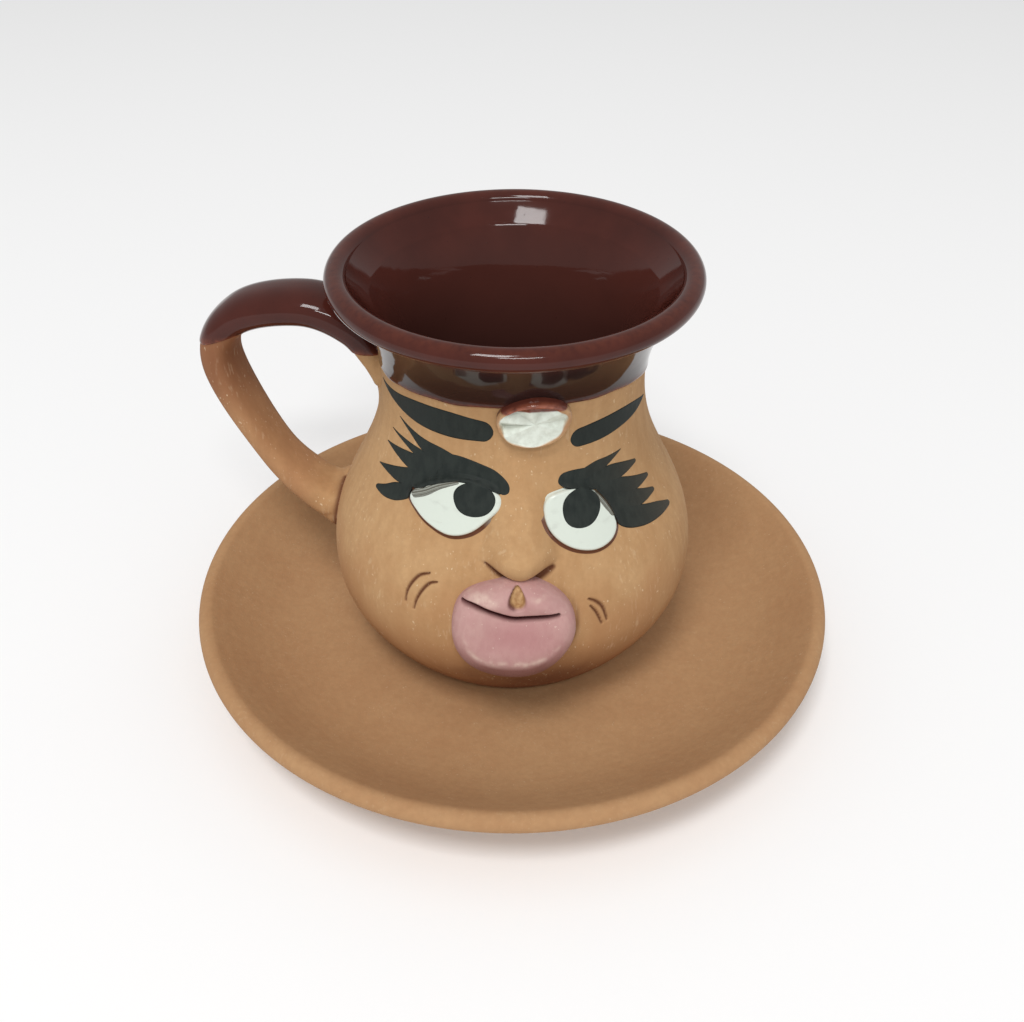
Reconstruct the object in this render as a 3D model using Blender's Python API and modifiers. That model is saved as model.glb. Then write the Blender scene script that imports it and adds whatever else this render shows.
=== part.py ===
"""A hand-built terracotta coffee cup with a comic face, standing on its saucer.

The saucer is thrown on its own. The cup is a thrown jug-shaped body, with a pulled strap handle
and the face's relief pieces (eyes, nose, lips and a stamped forehead rosette) luted onto its wall.
Metres, +Z up. The origin is at the middle of the saucer's foot, and the face looks along -Y.
"""

import math

import bmesh
import bpy
import numpy as np
from mathutils import Matrix, Vector

MM = 0.001

# How pieces meet
CLEARANCE = 0.3 * MM  # gap between two pieces that touch
EMBED = 6 * MM  # how far a luted blank reaches into the wall before it is cut back to it

# Saucer
SAUCER_RADIUS = 75 * MM  # outermost, at the lip
SAUCER_WALL = 4.4 * MM  # thickness, with the lip rounded over it
SAUCER_LIP_HEIGHT = 16 * MM  # middle of the rounded lip
SAUCER_SEAT_MARGIN = 16 * MM  # flat floor beyond the cup's foot
SAUCER_DISH_SLOPE = 36  # degrees, where the dish meets the lip
SAUCER_FLAT_PULL = 0.45  # how far the dish keeps flat, as a share of its run to the lip
SAUCER_SLOPE_PULL = 0.3  # how far it keeps its slope below the lip
SAUCER_FOOT_RADIUS = 43 * MM
SAUCER_FOOT_WIDTH = 5 * MM
SAUCER_FOOT_DEPTH = 2 * MM  # how far the underside is cut back above the foot
SAUCER_FOOT_DRAFT = 0.6 * MM  # the foot narrows by this much on each side

# Cup body, heights measured one from the other, upwards from the cup's foot
FOOT_RADIUS = 28 * MM
FOOT_FLARE = 45  # degrees above the horizontal, where the wall leaves the foot
FOOT_RECESS_RADIUS = 21 * MM
FOOT_RECESS_DEPTH = 1.5 * MM
BELLY_RADIUS = 41.4 * MM
BELLY_RISE = 24.3 * MM  # foot to widest belly
NECK_RADIUS = 28.1 * MM
SHOULDER_RISE = 46.4 * MM  # widest belly to narrowest neck
LIP_RADIUS = 38.5 * MM  # outermost, at the rolled lip
LIP_ROLL = 2.4 * MM  # radius of the rolled lip
LIP_RISE = 20.5 * MM  # narrowest neck to the middle of the lip
WALL = 4.2 * MM
FLOOR = 6 * MM  # thickness of the cup's bottom
FLOOR_CORNER = (0.9, 0.8, 0.5)  # round corner inside, in shares of the floor's radius
LIP_UNDERCUT = -120  # degrees round the roll where the neck comes up to it
LIP_INSIDE = 165  # degrees round the roll where the inside leaves it

# How far each curve of the wall keeps its starting direction, as a share of that stretch's rise
FLARE_PULL = 0.55
BELLY_PULL_DOWN = 0.33
BELLY_PULL_UP = 0.4
NECK_PULL_DOWN = 0.47
NECK_PULL_UP = 0.45
LIP_PULL = 0.2

# Handle, a strap in a plane through the cup's axis
HANDLE_TURN = 9  # degrees behind the cup's side
STRAP_WIDTH = 13.4 * MM
STRAP_THICKNESS = 8 * MM
HANDLE_ROOT_DROP = 1.5 * MM  # upper root below the neck
HANDLE_CREST_RISE = 9.6 * MM  # crest above the neck
HANDLE_CREST_REACH = 17 * MM  # crest out from the neck
HANDLE_REACH = 23.9 * MM  # outermost centreline, out from the belly
HANDLE_REACH_RISE = 41 * MM  # height of that point above the belly
HANDLE_FOOT_RISE = 7 * MM  # lower root above the belly
HANDLE_ROOT_SPREAD = 1.2  # how much the strap swells where it is luted to the neck
HANDLE_SHANK_SPREAD = 0.9  # how it thins below its outermost point
HANDLE_FOOT_SPREAD = 1.5  # how much it swells where it is luted to the belly
HANDLE_HEEL = (0.36, 0.66)  # shares of the way out and up, from the upper root to the crest
HANDLE_SHOULDER = (0.73, 0.24)  # shares of the way out and down, from the crest to the reach
HANDLE_SHANK = (0.60, 0.33)  # shares of the way out and up, from the lower root to the reach
HANDLE_ANKLE = (0.18, 0.015)
HANDLE_ROOT_FALL = 1.1  # how steeply the strap's ends run down into the wall
HANDLE_FOOT_FALL = 0.35

# Face: azimuths in degrees, positive to +X from straight ahead
EYE_THICKNESS = 1.5 * MM
EYE_LID = 0.48  # share of an eye's height that is above its corners
EYE_CORNER_PULL = 0.5  # roundness of the corners, as a share of the lid's height
EYE_LID_PULL = 0.6  # roundness of the lids, as a share of half the width
LEFT_EYE_AZIMUTH = -22.6
LEFT_EYE_DROP = 16.8 * MM  # middle below the neck
LEFT_EYE_WIDTH = 20.2 * MM
LEFT_EYE_HEIGHT = 11.8 * MM
LEFT_EYE_ROLL = 9  # degrees, inner corner up
RIGHT_EYE_AZIMUTH = 24.1
RIGHT_EYE_DROP = 19.6 * MM
RIGHT_EYE_WIDTH = 17.4 * MM
RIGHT_EYE_HEIGHT = 13.2 * MM
RIGHT_EYE_ROLL = -28
NOSE_AZIMUTH = 2.3
NOSE_TOP_DROP = 6.5 * MM  # top of the bridge below the neck
NOSE_LENGTH = 23.6 * MM
NOSE_WIDTH = 15 * MM  # across the nostrils
BRIDGE_WIDTH = 4.4 * MM
NOSE_RIDGE = 0.66  # width of the ridge, as a share of the nose's width on the wall
NOSE_DEPTH = 6 * MM  # tip out from the wall
BRIDGE_DEPTH = 1 * MM
CAGE_WIDEN = 1.6  # how much wider, longer and deeper a cage is than the soft form inside it
CAGE_LENGTHEN = 1.24
CAGE_DEEPEN = 1.8
LIPS_AZIMUTH = 0.6
LIPS_RISE = 6.6 * MM  # middle of the lips above the belly
LIPS_WIDTH = 25.8 * MM
LIPS_HEIGHT = 22 * MM
LIPS_DEPTH = 4.4 * MM  # middle of the lips out from the wall
LIPS_TILT = 15  # degrees, the lips' face looks up by this much
LIPS_ROUND = 4 * MM
MOUTH_GROOVE = 0.6 * MM  # radius of the tool mark between the lips
MOUTH_LINE = [(-0.40, 0.27), (0.02, 0.14), (0.36, 0.15)]  # in widths and heights of the lips
NOTCH_LENGTH = 5 * MM
NOTCH_WIDTH = 2.6 * MM
NOTCH_DEPTH = 1.3 * MM
NOTCH_POINT = 0.2  # width of its blunt point, as a share of its mouth
NOTCH_RISE = 6.8 * MM  # middle of the notch above the middle of the lips
ROSETTE_AZIMUTH = 7
ROSETTE_RISE = 3.2 * MM  # middle above the neck
ROSETTE_WIDTH = 14.8 * MM
ROSETTE_HEIGHT = 12.2 * MM
ROSETTE_THICKNESS = 2.4 * MM
ROSETTE_BORDER = 1.1 * MM
ROSETTE_DISH = 0.7 * MM  # stamped face below its border
PETALS = 8
PETAL_GROOVE = 0.45 * MM  # half width at the flower's middle, and twice that at its border
PETAL_REACH = (0.2, 1.0)  # where a groove starts and ends, in shares of the flower's radius

# Facets
TURN_STEPS = 52  # round the thrown pieces
CURVE_POINTS = 6  # along one stretch of a profile
SHOULDER_POINTS = 8  # along the cup's longest stretch
FLOOR_POINTS = 5  # along the round corner of the cup's floor
LIP_POINTS = 10  # round the cup's rolled lip
SAUCER_LIP_POINTS = 8  # round the saucer's lip
EYE_STEPS = 6  # along each quarter of an eye's outline
LIPS_SIDES = 40  # round the lips
LIPS_EDGE_STEPS = 4  # across their rounded edge
NOTCH_SIDES = 12
STRAP_SIDES = 4  # steps between the strap section's four points
STRAP_STEPS = 4  # rings between two points of the handle's path

# Levels that follow from the sizes above
BELLY_Z = BELLY_RISE
NECK_Z = BELLY_Z + SHOULDER_RISE
LIP_Z = NECK_Z + LIP_RISE
SAUCER_FLOOR = SAUCER_FOOT_DEPTH + SAUCER_WALL
SAUCER_FLAT = FOOT_RADIUS + SAUCER_SEAT_MARGIN
CUP_SEAT = SAUCER_FLOOR + CLEARANCE

TERRACOTTA = (0.46, 0.25, 0.12)
SAUCER_CLAY = (0.38, 0.20, 0.10)
WHITE_SLIP = (0.76, 0.80, 0.74)
PINK_SLIP = (0.55, 0.27, 0.27)


def bezier(start, start_handle, end_handle, end, count=CURVE_POINTS):
    """Points of a cubic curve between two (radius, height) points."""
    t = np.linspace(0, 1, count)[:, None]
    corners = [np.array(p, float) for p in (start, start_handle, end_handle, end)]
    weights = [(1 - t) ** 3, 3 * t * (1 - t) ** 2, 3 * t * t * (1 - t), t**3]
    return sum(w * c for w, c in zip(weights, corners))


def arc(centre, radius, start, end, count):
    """Points of a circular arc, its angles in degrees from outwards, turning up."""
    angle = np.radians(np.linspace(start, end, count))[:, None]
    return np.array(centre) + radius * np.hstack([np.cos(angle), np.sin(angle)])


def joined(*stretches):
    """One profile from several stretches, without the points that they share."""
    points = [stretches[0]]
    for stretch in stretches[1:]:
        shared = np.allclose(points[-1][-1], stretch[0], atol=1e-7)
        points.append(stretch[1:] if shared else stretch)
    return np.vstack(points)


def wall_profile(offset=0.0):
    """The wall's outer (radius, height) points from the foot up to the underside of the lip."""
    foot, belly, neck = (FOOT_RADIUS, 0), (BELLY_RADIUS, BELLY_Z), (NECK_RADIUS, NECK_Z)
    flare = math.radians(FOOT_FLARE)
    pull = BELLY_RISE * FLARE_PULL
    lower = bezier(
        foot,
        (FOOT_RADIUS + pull * math.cos(flare), pull * math.sin(flare)),
        (BELLY_RADIUS, BELLY_Z - BELLY_RISE * BELLY_PULL_DOWN),
        belly,
    )
    shoulder = bezier(
        belly,
        (BELLY_RADIUS, BELLY_Z + SHOULDER_RISE * BELLY_PULL_UP),
        (NECK_RADIUS, NECK_Z - SHOULDER_RISE * NECK_PULL_DOWN),
        neck,
        SHOULDER_POINTS,
    )
    root = lip_arc()[0]
    flared_neck = bezier(
        neck,
        (NECK_RADIUS, NECK_Z + LIP_RISE * NECK_PULL_UP),
        (root[0] - LIP_ROLL, root[1] - LIP_RISE * LIP_PULL),
        root,
    )
    return offset_outward(joined(lower, shoulder, flared_neck), offset)


def offset_outward(points, distance):
    """A (radius, height) profile that runs upwards, moved square to itself, away from the axis."""
    slope = np.gradient(points, axis=0)
    outward = np.stack([slope[:, 1], -slope[:, 0]], 1)
    outward /= np.linalg.norm(outward, axis=1)[:, None]
    return points + distance * outward


def lip_arc(grow=0.0, inner_end=LIP_INSIDE):
    """The rolled lip, from its underside over the top to its inner side."""
    centre = (LIP_RADIUS - LIP_ROLL, LIP_Z)
    return arc(centre, LIP_ROLL + grow, LIP_UNDERCUT, inner_end, LIP_POINTS)


def wall_at(height):
    """(radius, upward tilt of the outward normal in radians) of the wall at a height."""
    points = wall_profile()
    radius = np.interp(height, points[:, 1], points[:, 0])
    step = 0.5 * MM
    above, below = (np.interp(height + s, points[:, 1], points[:, 0]) for s in (step, -step))
    return float(radius), math.atan2(below - above, 2 * step)


def link(obj, parent=None):
    """Puts an object in the cup's collection, under its carrier."""
    PARTS.objects.link(obj)
    obj.parent = parent
    return obj


def as_helper(obj):
    """Moves an object to the cutters, where it shows as wire and takes no part in the model."""
    for collection in list(obj.users_collection):
        collection.objects.unlink(obj)
    CUTTERS.objects.link(obj)
    obj.hide_render = True
    obj.display_type = "WIRE"
    return obj


def painted(obj, name, colour, roughness, coat=0.0):
    """Gives an object its own material."""
    material = bpy.data.materials.new(name)
    material.use_nodes = True
    shader = material.node_tree.nodes["Principled BSDF"]
    shader.inputs["Base Color"].default_value = (*colour, 1)
    shader.inputs["Roughness"].default_value = roughness
    shader.inputs["Metallic"].default_value = 0
    shader.inputs["Coat Weight"].default_value = coat
    material.diffuse_color = (*colour, 1)
    obj.data.materials.clear()
    obj.data.materials.append(material)
    return obj


def turned(name, profile, steps=TURN_STEPS):
    """A thrown piece: a closed (radius, height) profile turned about Z with a Screw modifier."""
    mesh = bpy.data.meshes.new(name)
    vertices = [(r, 0, z) for r, z in profile]
    on_axis = profile[0][0] == 0 and profile[-1][0] == 0
    edges = [(i, i + 1) for i in range(len(profile) - 1)]
    if not on_axis:
        edges.append((len(profile) - 1, 0))
    mesh.from_pydata(vertices, edges, [])
    obj = bpy.data.objects.new(name, mesh)
    screw = obj.modifiers.new("turn", "SCREW")
    screw.steps = screw.render_steps = steps
    screw.use_merge_vertices = True
    screw.merge_threshold = 0.01 * MM
    screw.use_smooth_shade = True
    return obj


def meshed(obj):
    """A mesh object in place of a curve object, with its loose caps welded."""
    graph = bpy.context.evaluated_depsgraph_get()
    mesh = bpy.data.meshes.new_from_object(obj.evaluated_get(graph))
    shape = bmesh.new()
    shape.from_mesh(mesh)
    bmesh.ops.remove_doubles(shape, verts=shape.verts, dist=0.01 * MM)
    bmesh.ops.recalc_face_normals(shape, faces=shape.faces)
    shape.to_mesh(mesh)
    shape.free()
    made = bpy.data.objects.new(obj.name + "_mesh", mesh)
    made.matrix_world = obj.matrix_world
    name = obj.name
    bpy.data.objects.remove(obj)
    made.name = name
    return made


def cut(obj, cutter, operation="DIFFERENCE"):
    """A live Boolean on obj."""
    modifier = obj.modifiers.new(cutter.name, "BOOLEAN")
    modifier.operation = operation
    modifier.object = cutter
    return obj


def place_on_wall(obj, azimuth, height, depth=0.0, tilt=None, roll=0.0):
    """Turns a piece modelled flat (X right, Y up, Z outwards) onto the cup's wall.

    depth moves it out along its own Z, tilt replaces the wall's own tilt, and roll turns it about
    its own Z, both in degrees."""
    radius, lean = wall_at(height)
    lean = lean if tilt is None else math.radians(tilt)
    turn = math.radians(azimuth)
    outward = radius + depth * math.cos(lean)
    obj.location = (
        outward * math.sin(turn),
        -outward * math.cos(turn),
        height + depth * math.sin(lean),
    )
    stand = Matrix.Rotation(turn, 3, "Z") @ Matrix.Rotation(math.pi / 2 - lean, 3, "X")
    obj.rotation_euler = (stand @ Matrix.Rotation(math.radians(roll), 3, "Z")).to_euler()
    return obj


def make_saucer():
    """A dish of even thickness on a foot ring, its edge rounded over."""
    roll = SAUCER_WALL / 2
    lip = (SAUCER_RADIUS - roll, SAUCER_LIP_HEIGHT)
    crest = arc(lip, roll, 90 + SAUCER_DISH_SLOPE, SAUCER_DISH_SLOPE - 90, SAUCER_LIP_POINTS)
    slope = math.radians(SAUCER_DISH_SLOPE)
    run = SAUCER_RADIUS - SAUCER_FLAT
    dish = bezier(
        (SAUCER_FLAT, SAUCER_FLOOR),
        (SAUCER_FLAT + run * SAUCER_FLAT_PULL, SAUCER_FLOOR),
        crest[0] - run * SAUCER_SLOPE_PULL * np.array([math.cos(slope), math.sin(slope)]),
        crest[0],
    )
    underside = offset_outward(dish, SAUCER_WALL)[::-1]
    underside = underside[underside[:, 0] > SAUCER_FOOT_RADIUS + SAUCER_WALL]
    foot_inner = SAUCER_FOOT_RADIUS - SAUCER_FOOT_WIDTH
    foot = [
        (SAUCER_FOOT_RADIUS, SAUCER_FOOT_DEPTH),
        (SAUCER_FOOT_RADIUS - SAUCER_FOOT_DRAFT, 0),
        (foot_inner + SAUCER_FOOT_DRAFT, 0),
        (foot_inner, SAUCER_FOOT_DEPTH),
        (0, SAUCER_FOOT_DEPTH),
    ]
    profile = joined(np.array([(0, SAUCER_FLOOR)]), dish, crest, underside, np.array(foot))
    saucer = link(turned("saucer", profile))
    return painted(saucer, "saucer_clay", SAUCER_CLAY, 0.85)


def make_body(carrier):
    outer = wall_profile()
    lip = lip_arc()
    inner = wall_profile(-WALL)
    inner = inner[(inner[:, 1] > FLOOR) & (inner[:, 1] < LIP_Z - LIP_ROLL)]
    edge = inner[0]
    bottom = bezier(
        edge,
        (edge[0] * FLOOR_CORNER[0], FLOOR),
        (edge[0] * FLOOR_CORNER[1], FLOOR),
        (edge[0] * FLOOR_CORNER[2], FLOOR),
        FLOOR_POINTS,
    )
    base = np.array(
        [
            (0, FOOT_RECESS_DEPTH),
            (FOOT_RECESS_RADIUS - FOOT_RECESS_DEPTH, FOOT_RECESS_DEPTH),
            (FOOT_RECESS_RADIUS, 0),
        ]
    )
    middle = np.array([(0, FLOOR)])
    profile = joined(base, outer, lip, inner[::-1], bottom, middle)
    body = link(turned("cup_body", profile[::-1]), carrier)
    return painted(body, "cup_clay", TERRACOTTA, 0.8)


def make_wall_plug(carrier):
    """The cup's outer form grown by the clearance, which trims every piece that is luted on."""
    grown = wall_profile(CLEARANCE)
    lip = lip_arc(CLEARANCE, 90)
    top, bottom = [(0, lip[-1][1])], [(0, grown[0][1])]
    profile = np.vstack([top, lip[::-1], grown[::-1], bottom])
    plug = turned("wall_plug", profile)
    plug.parent = carrier
    return as_helper(plug)


def make_eye_skin(carrier):
    """The layer of clay, one eye thick, that the eyes are cut from."""
    near = wall_profile(CLEARANCE)
    far = wall_profile(CLEARANCE + EYE_THICKNESS)
    skin = turned("eye_skin", np.vstack([far[::-1], near]))
    skin.parent = carrier
    return as_helper(skin)


def mixed(start, end, out_share, up_share):
    """A point between two (radius, height) points, with its own share of each difference."""
    return (
        start[0] + (end[0] - start[0]) * out_share,
        start[1] + (end[1] - start[1]) * up_share,
    )


def make_handle(carrier, plug):
    """A strap of oval section along a path in a plane through the cup's axis."""
    root_z = NECK_Z - HANDLE_ROOT_DROP
    crest = (NECK_RADIUS + HANDLE_CREST_REACH, NECK_Z + HANDLE_CREST_RISE)
    reach = (BELLY_RADIUS + HANDLE_REACH, BELLY_Z + HANDLE_REACH_RISE)
    foot_z = BELLY_Z + HANDLE_FOOT_RISE
    root = (wall_at(root_z)[0], root_z)
    foot = (wall_at(foot_z)[0], foot_z)
    heel = mixed(root, crest, *HANDLE_HEEL)
    shoulder = mixed(crest, reach, *HANDLE_SHOULDER)
    shank = mixed(foot, reach, *HANDLE_SHANK)
    ankle = mixed(foot, reach, *HANDLE_ANKLE)
    root_end = (root[0] - EMBED, root[1] - EMBED * HANDLE_ROOT_FALL)
    foot_end = (foot[0] - EMBED, foot[1] - EMBED * HANDLE_FOOT_FALL)
    path = [root_end, root, heel, crest, shoulder, reach, shank, ankle, foot, foot_end]
    ankle_spread = (HANDLE_SHANK_SPREAD + HANDLE_FOOT_SPREAD) / 2
    swell = [HANDLE_ROOT_SPREAD] * 2 + [1] * 4
    swell += [HANDLE_SHANK_SPREAD, ankle_spread] + [HANDLE_FOOT_SPREAD] * 2

    section_data = bpy.data.curves.new("strap_section", "CURVE")
    section_data.dimensions = "2D"
    section_data.resolution_u = STRAP_SIDES
    section_spline = section_data.splines.new("BEZIER")
    section_spline.bezier_points.add(3)
    section_spline.use_cyclic_u = True
    corners = [(1, 0), (0, 1), (-1, 0), (0, -1)]
    for point, (across, through) in zip(section_spline.bezier_points, corners):
        point.co = (across * STRAP_WIDTH / 2, through * STRAP_THICKNESS / 2, 0)
        point.handle_left_type = point.handle_right_type = "AUTO"
    section = bpy.data.objects.new("strap_section", section_data)
    as_helper(section)

    data = bpy.data.curves.new("handle", "CURVE")
    data.dimensions = "3D"
    data.resolution_u = STRAP_STEPS
    data.twist_mode = "MINIMUM"
    data.bevel_mode = "OBJECT"
    data.bevel_object = section
    data.use_fill_caps = True
    spline = data.splines.new("BEZIER")
    spline.bezier_points.add(len(path) - 1)
    for point, (out, z), point.radius in zip(spline.bezier_points, path, swell):
        point.co = (-out, 0, z)
        point.handle_left_type = point.handle_right_type = "AUTO"
    curve = link(bpy.data.objects.new("handle", data))
    handle = link(meshed(curve), carrier)
    handle.rotation_euler = (0, 0, -math.radians(HANDLE_TURN))
    cut(handle, plug)
    handle.data.shade_smooth()
    return painted(handle, "handle_clay", TERRACOTTA, 0.8)


def make_eye(name, azimuth, drop, width, height, roll, carrier, skin, nose_room):
    """A thin pad of white clay: a round-bottomed almond cut from a layer on the wall."""
    data = bpy.data.curves.new(name, "CURVE")
    data.dimensions = "2D"
    data.fill_mode = "BOTH"
    data.resolution_u = EYE_STEPS
    data.extrude = EMBED
    spline = data.splines.new("BEZIER")
    spline.bezier_points.add(3)
    spline.use_cyclic_u = True
    half, lid, bag = width / 2, height * EYE_LID, height * (1 - EYE_LID)
    corner_pull, lid_pull = Vector((0, lid * EYE_CORNER_PULL, 0)), Vector((half * EYE_LID_PULL, 0, 0))
    outline = [
        (Vector((-half, 0, 0)), corner_pull),
        (Vector((0, lid, 0)), lid_pull),
        (Vector((half, 0, 0)), -corner_pull),
        (Vector((0, -bag, 0)), -lid_pull),
    ]
    for point, (place, pull) in zip(spline.bezier_points, outline):
        point.handle_left_type = point.handle_right_type = "FREE"
        point.co = place
        point.handle_left = place - pull
        point.handle_right = place + pull
    curve = link(bpy.data.objects.new(name, data))
    eye = link(meshed(curve), carrier)
    place_on_wall(eye, azimuth, NECK_Z - drop, roll=roll)
    cut(eye, skin, "INTERSECT")
    cut(eye, nose_room)
    return painted(eye, name + "_slip", WHITE_SLIP, 0.3, 0.4)


def nose_blank(name, grow, carrier):
    """A soft wedge, narrow at the bridge and broad at the nostrils, grown all round."""
    shape = bmesh.new()
    bmesh.ops.create_cube(shape, size=2)
    for corner in shape.verts:
        low = corner.co.y < 0
        front = corner.co.z > 0
        half_width = CAGE_WIDEN * (NOSE_WIDTH if low else BRIDGE_WIDTH) / 2
        corner.co.x *= half_width * (NOSE_RIDGE if front else 1) + grow
        corner.co.y *= CAGE_LENGTHEN * NOSE_LENGTH / 2 + grow
        reach = CAGE_DEEPEN * (NOSE_DEPTH if low else BRIDGE_DEPTH)
        corner.co.z = reach + grow if front else -EMBED
    mesh = bpy.data.meshes.new(name)
    shape.to_mesh(mesh)
    shape.free()
    blank = link(bpy.data.objects.new(name, mesh), carrier)
    place_on_wall(blank, NOSE_AZIMUTH, NECK_Z - NOSE_TOP_DROP - NOSE_LENGTH / 2)
    soften = blank.modifiers.new("soften", "SUBSURF")
    soften.levels = soften.render_levels = 3
    return blank


def make_nose(carrier, plug):
    nose = cut(nose_blank("nose", 0, carrier), plug)
    nose.data.shade_smooth()
    return painted(nose, "nose_clay", TERRACOTTA, 0.8)


def make_lips(carrier, plug, nose_room):
    """A thick round pad, let into the wall at the top, with the mouth and a notch pressed in."""
    bpy.ops.mesh.primitive_cylinder_add(vertices=LIPS_SIDES, radius=1, depth=2)
    lips = bpy.context.object
    lips.name = lips.data.name = "lips"
    for collection in list(lips.users_collection):
        collection.objects.unlink(lips)
    link(lips, carrier)
    half_depth = (LIPS_DEPTH + EMBED * 2) / 2
    for corner in lips.data.vertices:
        corner.co.x *= LIPS_WIDTH / 2
        corner.co.y *= LIPS_HEIGHT / 2
        corner.co.z *= half_depth
    height = BELLY_Z + LIPS_RISE
    place_on_wall(lips, LIPS_AZIMUTH, height, LIPS_DEPTH - half_depth, LIPS_TILT)
    edge = lips.modifiers.new("rounded_edge", "BEVEL")
    edge.width = LIPS_ROUND
    edge.segments = LIPS_EDGE_STEPS
    edge.limit_method = "ANGLE"
    edge.angle_limit = math.radians(60)
    cut(lips, make_mouth_groove(lips, half_depth))
    cut(lips, make_notch(lips, half_depth))
    cut(lips, plug)
    cut(lips, nose_room)
    lips.data.shade_smooth()
    return painted(lips, "lips_slip", PINK_SLIP, 0.6)


def make_mouth_groove(lips, front):
    """The bent tool mark between the lips."""
    data = bpy.data.curves.new("mouth_groove", "CURVE")
    data.dimensions = "3D"
    data.bevel_depth = MOUTH_GROOVE
    data.bevel_resolution = 1
    data.use_fill_caps = True
    spline = data.splines.new("POLY")
    spline.points.add(len(MOUTH_LINE) - 1)
    for point, (across, up) in zip(spline.points, MOUTH_LINE):
        point.co = (across * LIPS_WIDTH, up * LIPS_HEIGHT, front, 1)
    curve = link(bpy.data.objects.new("mouth_groove", data))
    groove = as_helper(meshed(curve))
    groove.parent = lips
    return groove


def make_notch(lips, front):
    """The pointed dent in the middle of the upper lip."""
    bpy.ops.mesh.primitive_cone_add(vertices=NOTCH_SIDES, radius1=NOTCH_POINT, radius2=1, depth=2)
    notch = bpy.context.object
    notch.name = "lip_notch"
    for corner in notch.data.vertices:
        corner.co.x *= NOTCH_WIDTH / 2
        corner.co.y *= NOTCH_LENGTH / 2
        corner.co.z *= NOTCH_DEPTH
    notch.location = (0, NOTCH_RISE, front)
    as_helper(notch)
    notch.parent = lips
    return notch


def make_rosette(carrier, plug):
    """A stamped disc of clay, a flower in a raised border, pressed on between the brows."""
    radius = ROSETTE_WIDTH / 2
    inner = radius - ROSETTE_BORDER
    top, floor = ROSETTE_THICKNESS, ROSETTE_THICKNESS - ROSETTE_DISH
    profile = [
        (0, top),
        (inner / 2, top - ROSETTE_DISH / 4),
        (inner, floor),
        (radius - ROSETTE_BORDER / 2, top),
        (radius, top - ROSETTE_BORDER / 2),
        (radius, -EMBED),
        (0, -EMBED),
    ]
    rosette = link(turned("forehead_rosette", profile, PETALS * 4), carrier)
    place_on_wall(rosette, ROSETTE_AZIMUTH, NECK_Z + ROSETTE_RISE, CLEARANCE)
    rosette.scale = (1, ROSETTE_HEIGHT / ROSETTE_WIDTH, 1)
    start, end = (inner * share for share in PETAL_REACH)
    for petal in range(PETALS):
        bpy.ops.mesh.primitive_cone_add(
            vertices=4, radius1=PETAL_GROOVE, radius2=PETAL_GROOVE * 2, depth=end - start
        )
        groove = bpy.context.object
        groove.name = f"petal_groove_{petal}"
        turn = 2 * math.pi * (petal + 0.5) / PETALS
        groove.rotation_euler = (math.pi / 2, 0, turn)
        middle = (start + end) / 2
        groove.location = (middle * -math.sin(turn), middle * math.cos(turn), (top + floor) / 2)
        as_helper(groove)
        groove.parent = rosette
        cut(rosette, groove)
    cut(rosette, plug)
    return painted(rosette, "rosette_slip", WHITE_SLIP, 0.5)


def main():
    for obj in list(bpy.data.objects):
        bpy.data.objects.remove(obj)
    cup = bpy.data.objects.new("cup", None)
    cup.location = (0, 0, CUP_SEAT)
    link(cup)
    plug = make_wall_plug(cup)
    skin = make_eye_skin(cup)
    nose_room = as_helper(nose_blank("nose_room", CLEARANCE * 2, cup))
    make_saucer()
    make_body(cup)
    make_handle(cup, plug)
    left = (LEFT_EYE_AZIMUTH, LEFT_EYE_DROP, LEFT_EYE_WIDTH, LEFT_EYE_HEIGHT, LEFT_EYE_ROLL)
    right = (RIGHT_EYE_AZIMUTH, RIGHT_EYE_DROP, RIGHT_EYE_WIDTH, RIGHT_EYE_HEIGHT, RIGHT_EYE_ROLL)
    make_eye("left_eye", *left, cup, skin, nose_room)
    make_eye("right_eye", *right, cup, skin, nose_room)
    make_nose(cup, plug)
    make_lips(cup, plug, nose_room)
    make_rosette(cup, plug)


PARTS = bpy.data.collections.new("coffee_cup")
CUTTERS = bpy.data.collections.new("cutters")
for made_collection in (PARTS, CUTTERS):
    bpy.context.scene.collection.children.link(made_collection)
main()
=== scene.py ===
# %% [markdown]
# # A terracotta coffee cup with a comic face
#
# The cup is thrown red clay with a pulled handle. Small pieces of clay make the face, coloured slips
# are brushed on, and the neck is dipped in a dark glaze. The saucer is plain clay from the same wheel.
#
# This lesson dresses the plain solids of that cup. Each surface is worked out with numpy as rings of
# points, and each finish is a small set of shader nodes written as expressions.

# %% Load the solids
import math

import bmesh
import bpy
import numpy as np
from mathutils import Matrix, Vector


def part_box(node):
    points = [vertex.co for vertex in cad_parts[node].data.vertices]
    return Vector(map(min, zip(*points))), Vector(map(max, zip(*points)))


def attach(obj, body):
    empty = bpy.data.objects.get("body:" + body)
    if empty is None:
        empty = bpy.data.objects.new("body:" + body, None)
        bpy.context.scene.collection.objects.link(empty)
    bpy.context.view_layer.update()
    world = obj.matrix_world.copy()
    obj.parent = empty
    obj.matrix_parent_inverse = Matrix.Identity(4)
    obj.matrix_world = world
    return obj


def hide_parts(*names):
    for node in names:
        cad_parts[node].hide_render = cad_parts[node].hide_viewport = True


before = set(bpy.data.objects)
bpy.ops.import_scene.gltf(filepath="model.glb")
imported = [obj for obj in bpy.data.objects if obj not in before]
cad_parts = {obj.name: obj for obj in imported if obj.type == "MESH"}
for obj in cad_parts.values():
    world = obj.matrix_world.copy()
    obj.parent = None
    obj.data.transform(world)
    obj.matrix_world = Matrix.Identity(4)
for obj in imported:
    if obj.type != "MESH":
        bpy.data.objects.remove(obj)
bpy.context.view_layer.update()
MM = 0.001

# %% [markdown]
# ## The view
#
# The photograph looks down at the cup from the front. A camera could be placed by eye, but the two
# round lips fix it: their ellipses say how high it stands and how wide its lens is.

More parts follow.
